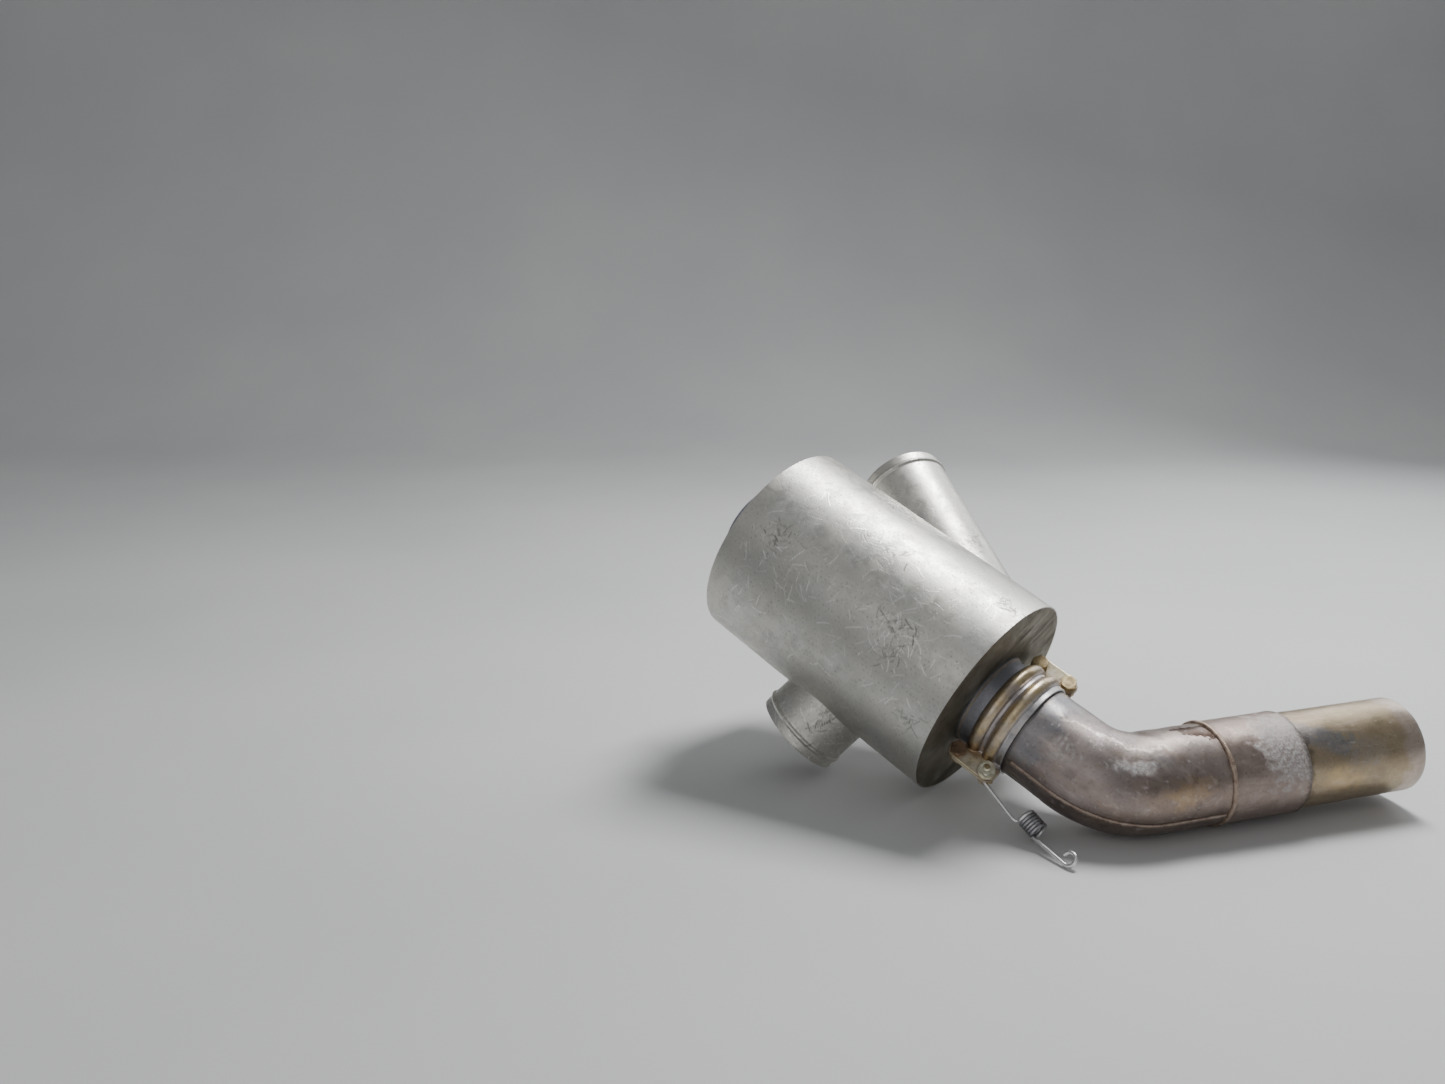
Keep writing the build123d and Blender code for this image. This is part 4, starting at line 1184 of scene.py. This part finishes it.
NECK_RADIUS, FLARE_LENGTH, FLARE_RISE = 30.25, 1.6, 1.5
BEAD_HALF, BEAD_RISE = 3.0, 3.0 * 0.98
elbow_rows = [(COLLAR_END - 9.0, NECK_RADIUS), (COLLAR_END, NECK_RADIUS)]
elbow_rows += [
    (x, NECK_RADIUS + (x - COLLAR_END) / FLARE_LENGTH * FLARE_RISE)
    for x in spaced(COLLAR_END + 0.3, COLLAR_END + FLARE_LENGTH, 0.5)
]
elbow_rows += [(x, PIPE_RADIUS) for x in spaced(COLLAR_END + 2.0, ELBOW_BEAD - 3.2, 0.5)]
elbow_rows += [
    (ELBOW_BEAD + BEAD_HALF * q, PIPE_RADIUS + BEAD_RISE * math.sqrt(max(0.0, 1 - q * q)))
    for q in np.linspace(-1, 1, 15)
]
elbow_rows += [(x, PIPE_RADIUS) for x in spaced(ELBOW_BEAD + 3.4, ELBOW_END, PIPE_STEP)]


def lay_half(name, node, first, last, material):
    """One pressed half of the elbow as a fine shell between two turns."""
    count = int((last - first) / degrees_of(PIPE_STEP, PIPE_RADIUS))
    turns = np.linspace(first, last, count)
    outer = np.array(elbow_rows)
    inner = outer[:: 5]
    inner = np.vstack([inner, outer[-1]]) if inner[-1, 0] != outer[-1, 0] else inner
    inner = inner[::-1] - [0, PIPE_WALL]
    s = np.concatenate([outer[:, 0], inner[:, 0]])
    r = np.concatenate([outer[:, 1], inner[:, 1]])
    stations, angles = np.meshgrid(s, turns, indexing="ij")
    radius = np.repeat(r[:, None], len(turns), 1) + elbow_lift(stations, angles)
    points = tube_points(pipe_path, s, angles, radius)
    faces = grid_faces(len(s), len(turns), close_rows=True, close_columns=False)
    piece = make_object(name, points.reshape(-1, 3), faces)
    inside = np.arange(len(s)) >= len(outer)
    paint_heat(piece, tint_elbow(stations, angles), mark_elbow(stations, angles), inside, 0.35)
    smooth(piece.data, 50)
    stand_for(piece, [node], "tailpipe", "elbow_steel", material)


elbow_metal = heat_tinted("elbow_heat_tint_and_painted_light", muffler_frame, 0.40)
lay_half("elbow_upper_skin", "elbow_half_upper", 0.0, 180.0, elbow_metal)
lay_half("elbow_lower_skin", "elbow_half_lower", 180.0, 360.0, elbow_metal)

# ---- Seam welds and the girth weld ----

SEAM_TOP, SEAM_HALF = PIPE_RADIUS + 0.1, 1.7
WELD_HALF, WELD_RISE = 1.6, 1.3
WELD_ROOTS = [31.2, 31.0, 31.2]


def seam_bead(turn, seed):
    """Points and faces of a rippled weld bead along the elbow at one turn."""
    rng = np.random.default_rng(seed)
    s = spaced(SHROUD_LENGTH + 40.0, ELBOW_END - WELD_HALF, 0.2)
    phi = np.radians(np.arange(0, 360, 15))
    ss, pp = np.meshgrid(s, phi, indexing="ij")
    wander = np.interp(s, np.linspace(s[0], s[-1], 24), rng.normal(0, 0.07, 24))[:, None]
    swell = np.interp(s, np.linspace(s[0], s[-1], 40), rng.normal(0, 0.05, 40))[:, None]
    ripple = 0.055 * np.sin(2 * pi * (ss / 1.15 - 0.35 * np.sin(pp) ** 2))
    fade = np.clip(np.minimum(s - s[0], s[-1] - s) / 1.5, 0.05, 1)[:, None] ** 0.5
    size = SEAM_HALF * (1 + ripple + swell) * fade
    out = SEAM_TOP + size * 0.62 * np.cos(pp)
    aside = wander + size * np.sin(pp)
    centre, inside, normal = pipe_path(s)
    a = radians(turn)
    ray = inside * cos(a) + normal * sin(a)
    along = -inside * sin(a) + normal * cos(a)
    points = centre[:, None, :] + MM * (
        out[..., None] * ray[:, None, :] + aside[..., None] * along[:, None, :]
    )
    return points.reshape(-1, 3), grid_faces(len(s), len(phi))


(side_points, side_faces), (other_points, other_faces) = seam_bead(180.0, 91), seam_bead(0.0, 92)
seams = make_object(
    "elbow_seam_beads",
    np.concatenate([side_points, other_points]),
    np.concatenate([side_faces, other_faces + len(side_points)]),
)
seam_metal = weld_metal("seam_weld", (0.17, 0.12, 0.095), (0.40, 0.33, 0.28), 0.48)
stand_for(seams, ["elbow_seam_welds"], "tailpipe", "seam_steel", seam_metal)


def girth_bead():
    """The rippled weld round the elbow's end, joining it to the sleeve."""
    turns = np.arange(0, 360, 0.5)
    shape = np.linspace(-1, 1, 13)
    rows = np.concatenate([shape, [1.0, 0.0, -1.0]])
    tops = PIPE_RADIUS + (SLEEVE_RADIUS - PIPE_RADIUS) * (shape + 1) / 2
    tops = tops + WELD_RISE * np.clip(1 - shape**2, 0, 1) ** 0.6
    r = np.concatenate([tops, WELD_ROOTS])
    rr, tt = np.meshgrid(r, turns, indexing="ij")
    xx = np.repeat(rows[:, None] * WELD_HALF, len(turns), 1)
    arc = np.radians(tt) * PIPE_RADIUS
    bulge = np.clip(1 - (xx / WELD_HALF) ** 2, 0, 1)
    ripple = 0.12 * np.sin(2 * pi * (arc / 1.25) + 2.2 * (xx / WELD_HALF) ** 2)
    live = np.repeat((np.arange(len(r)) < len(shape))[:, None], len(turns), 1)
    rr = rr + np.where(live, ripple * bulge, 0)
    xx = xx * (1 + 0.10 * np.sin(arc / 3.1) + 0.07 * np.sin(arc / 1.7 + 1))
    centre = bend_end + tail_axis * ELBOW_TANGENT * MM
    a = np.radians(tt)[..., None]
    points = centre + tail_axis * (xx * MM)[..., None] + (rr * MM)[..., None] * (
        tail_in * np.cos(a) + bend_normal * np.sin(a)
    )
    faces = grid_faces(len(r), len(turns), close_rows=True)
    return make_object("girth_bead", points.reshape(-1, 3), faces)


girth_metal = weld_metal("girth_weld_metal", (0.20, 0.14, 0.11), (0.47, 0.38, 0.31), 0.5)
stand_for(girth_bead(), ["girth_weld"], "tailpipe", "seam_steel", girth_metal)

# ---- Sleeve and tail tube ----


def past_bend(s):
    """Stations counted from the end of the bend."""
    return s - TAIL_ZERO


def tint_sleeve(s, angles):
    """Pinkish brown heat tint with greyer bands and painted shade on the underside."""
    x = past_bend(s)
    wob = bump_noise(s, angles, SLEEVE_RADIUS, 18.0, 401)
    base = np.tile(np.array([0.39, 0.31, 0.275]), (*s.shape, 1))
    base = over(base, soft(wob, 0.2, 1.3) * 0.6, (0.46, 0.38, 0.34))
    base = over(base, soft(6 + 2 * wob - (x - 42.7), 0, 6) * 0.7, (0.27, 0.21, 0.18))
    # Painted shade: darker on the underside, away from the light.
    low = soft(np.abs(wrapped(angles, 75)) - 95, 0, 50)
    base = over(base, low * 0.6, (0.25, 0.20, 0.175))
    return over(base, soft(x - 90 + 3 * wob, 0, 8) * 0.5, (0.33, 0.27, 0.23)) * 0.82


def mark_sleeve(s, angles):
    """The whitish deposit on the sleeve with its ragged edge."""
    x = past_bend(s)
    wob = bump_noise(s, angles, SLEEVE_RADIUS, 10.0, 411)
    rag = bump_noise(s, angles, SLEEVE_RADIUS, 3.4, 412)
    facing = np.abs(wrapped(angles, 103))
    band = soft(x - (58.0 + 0.24 * facing) + 4.0 * wob, 0, 12) * soft(58 - facing + 9 * wob, 0, 22)
    chalk = band * (0.45 + 0.4 * soft(rag, -0.4, 0.8))
    specks = soft(rag + 0.4 * wob, 1.4, 1.9) * 0.35
    dirt = soft(x - 95.2 + 0.9 * rag, 0, 2.2)
    chalk = np.maximum(chalk, specks) * (1 - 0.6 * dirt)
    return marks_of(chalk, np.zeros_like(s), dirt * 0.8)


def tint_tail(s, angles):
    """Gold and olive tube with a blue-grey streak, a pale end band and painted shade on the underside.
    """
    x = past_bend(s)
    wob = bump_noise(s, angles, TAIL_RADIUS, 22.0, 421)
    fine = bump_noise(s, angles, TAIL_RADIUS, 9.0, 422)
    base = np.tile(np.array([0.44, 0.37, 0.255]), (*s.shape, 1))
    base = over(base, soft(wob, -0.2, 1.1) * 0.6, (0.51, 0.43, 0.30))
    grey_turn = np.interp(x, [99, 112, 126, 145, 170, 187], [92, 104, 112, 124, 150, 165])
    streak = soft(26 + 6 * wob - np.abs(wrapped(angles, 0) - wrapped(grey_turn, 0)), 0, 20)
    base = over(base, streak * soft(150 - x + 8 * fine, 0, 26) * 0.9, (0.30, 0.315, 0.34))
    gold = blob(s, angles, TAIL_RADIUS, TAIL_ZERO + 124, 158, 22, 13, 12)
    base = over(base, soft(gold + 0.15 * fine, 0.1, 0.7) * 0.8, (0.60, 0.47, 0.265))
    pale = blob(s, angles, TAIL_RADIUS, TAIL_ZERO + 146, 126, 20, 14, 0)
    base = over(base, soft(pale + 0.15 * fine, 0.1, 0.7) * 0.6, (0.50, 0.45, 0.39))
    base = over(base, soft(x - 171 + 2.5 * wob, 0, 7) * 0.85, (0.60, 0.53, 0.485))
    base = over(base, soft(x - 184.5 + 0.6 * fine, 0, 2) * 0.7, (0.68, 0.64, 0.60))
    # Painted shade: darker on the underside, away from the light.
    low = soft(np.abs(wrapped(angles, 90)) - 92, 0, 45)
    return over(base, low * 0.5, (0.27, 0.22, 0.17)) * np.array([0.84, 0.80, 0.76])


def mark_tail(s, angles):
    """Soot by the sleeve, fine scratches and specks."""
    x = past_bend(s)
    wob = bump_noise(s, angles, TAIL_RADIUS, 10.0, 431)
    rag = bump_noise(s, angles, TAIL_RADIUS, 3.0, 432)
    by_sleeve = soft(103.5 + 2.0 * wob - x, 0, 4.5)
    specks = soft(rag + 0.3 * wob, 1.5, 1.9) * 0.3
    runs = scratches(s, angles, TAIL_RADIUS, 40, 433, (6.0, 26.0), 0.3, (-12, 12))
    chalk = np.maximum(specks, np.clip(runs, 0, 1) * 0.35)
    return marks_of(chalk, np.zeros_like(s), by_sleeve * 0.75)


def lay_tube(name, node, span, radius, wall, looks, slot, material):
    """A painted fine tube standing for a CAD tube of the tailpipe.

    span is its first and last station past the bend; looks are its tint, marks and lift.
    """
    tint, marks, lift = looks
    turns = np.arange(0, 360, degrees_of(PIPE_STEP, radius))
    stations = spaced(TAIL_ZERO + span[0], TAIL_ZERO + span[1], PIPE_STEP)
    piece, s, angles, inside = shell(name, pipe_path, stations, radius, wall, turns, lift)
    paint_heat(piece, tint(s, angles), marks(s, angles), inside, 0.3)
    smooth(piece.data, 50)
    stand_for(piece, [node], "tailpipe", slot, material)


def sleeve_lift(s, angles):
    """The sleeve's free edge flares unevenly."""
    x = past_bend(s)
    edge = soft(x, 90.0, SLEEVE_END)
    return 0.22 * edge * (0.5 + np.sin(np.radians(angles * 2 + 40))) + 0.08 * bump_noise(
        s, angles, SLEEVE_RADIUS, 20.0, 441, 2
    ) * soft(x, 46, 54)


def tail_lift(s, angles):
    """Gentle waves and a little dent at the tube's end."""
    x = past_bend(s)
    wave = 0.10 * bump_noise(s, angles, TAIL_RADIUS, 30.0, 451, 2) * soft(x, 101, 110)
    dent = blob(s, angles, TAIL_RADIUS, TAIL_ZERO + TAIL_END, 70, 10, 14, 0)
    return wave - 0.35 * soft(dent, 0, 1)


sleeve_metal = heat_tinted("sleeve_heat_tint_and_shade", tail_frame, 0.45)
tail_metal = heat_tinted("tail_heat_tint_and_shade", tail_frame, 0.38, (0.15, 0.12, 0.08))
sleeve_looks = (tint_sleeve, mark_sleeve, sleeve_lift)
sleeve_span, tail_span = (ELBOW_TANGENT, SLEEVE_END), (TAIL_START, TAIL_END)
lay_tube(
    "sleeve_skin", "tail_sleeve", sleeve_span, SLEEVE_RADIUS, SLEEVE_WALL, sleeve_looks,
    "sleeve_steel", sleeve_metal,
)
tail_looks = (tint_tail, mark_tail, tail_lift)
lay_tube(
    "tail_skin", "tail_pipe", tail_span, TAIL_RADIUS, PIPE_WALL, tail_looks,
    "tail_steel", tail_metal,
)

# ---- Hook spring ----

WIRE = 1.0
EYE_RADIUS, EYE_ARC = 3.75, 285.0
LEG_ANGLE, LEG_LENGTH = -15.0, 32.8
COIL_ANGLE, COIL_RADIUS, COIL_TURNS, COIL_PITCH = -9.8, 5.4, 6, 2.08
COIL_START = (SHROUD_LENGTH + 67.0, -47.6)
HOOK_LEG, HOOK_TURN, HOOK_RADIUS, HOOK_ARC = (26.0, -5.3, 11.0), 25.0, 4.2, 262.0
SPRING_HEIGHT = -EAR_FACE - WIRE - 0.25


def flat(distance, angle):
    """A step in the spring's plane, in millimetres."""
    return (AXIS * cos(radians(angle)) + EAR * sin(radians(angle))) * distance * MM


def evenly(points, step):
    """A line of points spread evenly along itself."""
    gaps = np.linalg.norm(np.diff(points, axis=0), axis=1)
    along = np.concatenate([[0], np.cumsum(gaps)])
    at = np.linspace(0, along[-1], int(along[-1] / step))
    return np.stack([np.interp(at, along, points[:, k]) for k in range(3)], -1)


def relaxed(points, spread):
    """The line with its corners eased, its ends kept."""
    reach = int(spread * 3)
    weight = np.exp(-0.5 * (np.arange(-reach, reach + 1) / spread) ** 2)
    weight /= weight.sum()
    head = 2 * points[0] - points[reach:0:-1]
    tail = 2 * points[-1] - points[-2 : -reach - 2 : -1]
    long = np.concatenate([head, points, tail])
    return np.stack([np.convolve(long[:, k], weight, "valid") for k in range(3)], -1)


eye_middle = place(*SPRING_SPOT, SPRING_HEIGHT)
eye_line = [
    eye_middle + flat(EYE_RADIUS, a) for a in np.linspace(LEG_ANGLE - 90 - EYE_ARC, LEG_ANGLE - 90, 80)
]
leg_knee = eye_line[-1] + flat(LEG_LENGTH, LEG_ANGLE)
coil_middle = place(*COIL_START, SPRING_HEIGHT)
coil_x = flat(1, COIL_ANGLE - 90) / MM
coil_z = flat(1, COIL_ANGLE) / MM
coil_y = np.cross(coil_z, coil_x)
coil_line = [
    coil_middle
    + (coil_x * cos(2 * pi * t) - coil_y * sin(2 * pi * t)) * COIL_RADIUS * MM
    + coil_z * COIL_PITCH * t * MM
    for t in np.linspace(0, COIL_TURNS, COIL_TURNS * 60)
]
hook_leg = AXIS * HOOK_LEG[0] + EAR * HOOK_LEG[1] + BOLT * HOOK_LEG[2]
hook_x = unit(hook_leg)
side = outward(HOOK_TURN)
hook_y = unit(side - hook_x * np.dot(side, hook_x))
hook_start = coil_line[-1] + hook_leg * MM
hook_line = [
    hook_start + (hook_x * sin(a) + hook_y * (1 - cos(a))) * HOOK_RADIUS * MM
    for a in np.radians(np.linspace(0, HOOK_ARC, 60))
]
spring_line = evenly(np.array([*eye_line, leg_knee, *coil_line, hook_start, *hook_line]), 0.15 * MM)
spring_line = relaxed(spring_line, 4.0)
spring, where = wire("spring_wire_piece", spring_line, (WIRE + 0.2) * MM, 16)
length = where / where.max()
on_coils = (soft(length, 0.235, 0.27) * soft(0.80 - length, 0, 0.03))[:, None]
greys = clouds(local_points(spring.data.vertices), 8.0, 501)[:, None]
legs = np.array([0.80, 0.80, 0.80]) * (1 - 0.10 * soft(greys, 0.2, 1.2))
coils = np.array([0.33, 0.33, 0.35]) * (1 + 0.125 * greys)
paint(spring, "tint", np.c_[legs * (1 - on_coils) + coils * on_coils, np.ones(len(greys))])


def spring_metal():
    """Galvanised spring wire with white bloom and darker coils."""
    m = Surface("galvanised_wire", 1.0, 0.35, muffler_frame)
    tint, _, _, _ = m.painted("tint")
    cloud = m.noise(420.0, 5.0, 0.65)
    fleck = m.noise(2200.0, 4.0, 0.7)
    tone = m.mix(m.span(cloud, 0.42, 0.72, 0.0, 0.45), tint, (0.42, 0.41, 0.40))
    tone = m.mix(m.span(fleck, 0.52, 0.78, 0.0, 0.5), tone, (0.17, 0.15, 0.13))
    m.colour(tone)
    m.rough(m.span(cloud, 0.3, 0.7, 0.26, 0.46))
    m.bump((fleck, 0.00004))
    return m.material


stand_for(spring, ["exhaust_spring"], "spring", "spring_wire", spring_metal())

# ---- Floor, lights and camera ----

FLOOR_DEPTH = -0.0005


def backdrop():
    """A pale floor that curves up into a wall behind."""
    near, far, bow, top = -5.0, 1.3, 0.8, 3.2
    line = [(y, 0.0) for y in np.linspace(near, far, 12)]
    line += [(far + bow * sin(a), bow * (1 - cos(a))) for a in np.radians(np.linspace(6, 90, 24))]
    line += [(far + bow, bow + h) for h in np.linspace(0.1, top - bow, 8)]
    across = np.linspace(-7.0, 7.0, 40)
    points = [(x, y, z + FLOOR_DEPTH) for y, z in line for x in across]
    return make_object("backdrop", points, grid_faces(len(line), len(across), close_columns=False))


floor = backdrop()
paper = Surface("pale_paper", 0.0, 0.75, Matrix.Identity(4))
grain = paper.noise(3.0, 3.0, 0.5)
paper.colour(paper.ramp(grain, ((0.3, (0.58, 0.585, 0.59)), (0.7, (0.63, 0.632, 0.63)))))
paper.rough(paper.span(grain, 0.3, 0.7, 0.7, 0.8))
floor.data.materials.append(paper.material)


LIGHT_TARGET = Vector((-0.02, 0.0, 0.12))


def area_light(name, location, size, power, tone=(1.0, 1.0, 1.0)):
    """A square soft light aimed at the muffler."""
    data = bpy.data.lights.new(name, "AREA")
    data.shape = "SQUARE"
    data.size = size
    data.energy = power
    data.color = tone
    lamp = bpy.data.objects.new(name, data)
    lamp.location = location
    aim = LIGHT_TARGET - Vector(location)
    lamp.rotation_euler = aim.to_track_quat("-Z", "Y").to_euler()
    scene.collection.objects.link(lamp)


area_light("key", (0.27, 0.38, 1.22), 0.45, 21.0)
area_light("fill", (-0.8, -1.5, 0.9), 1.6, 6.0, (1.0, 0.98, 0.96))
area_light("rim", (0.9, 0.9, 0.7), 0.8, 5.0, (0.96, 0.98, 1.0))

world = bpy.data.worlds.new("studio")
world.use_nodes = True
sky = world.node_tree.nodes["Background"].inputs
sky["Color"].default_value = (0.72, 0.74, 0.76, 1.0)
sky["Strength"].default_value = 0.33
scene.world = world

camera_data = bpy.data.cameras.new("camera")
camera_data.sensor_width = 36.0
camera_data.lens = 30.888
camera_data.clip_start = 0.01
camera = bpy.data.objects.new("camera", camera_data)
camera.location = (-0.2200, -0.8006, 0.3591)
camera.rotation_euler = (radians(76.5), 0.0, 0.0)
scene.collection.objects.link(camera)
scene.camera = camera
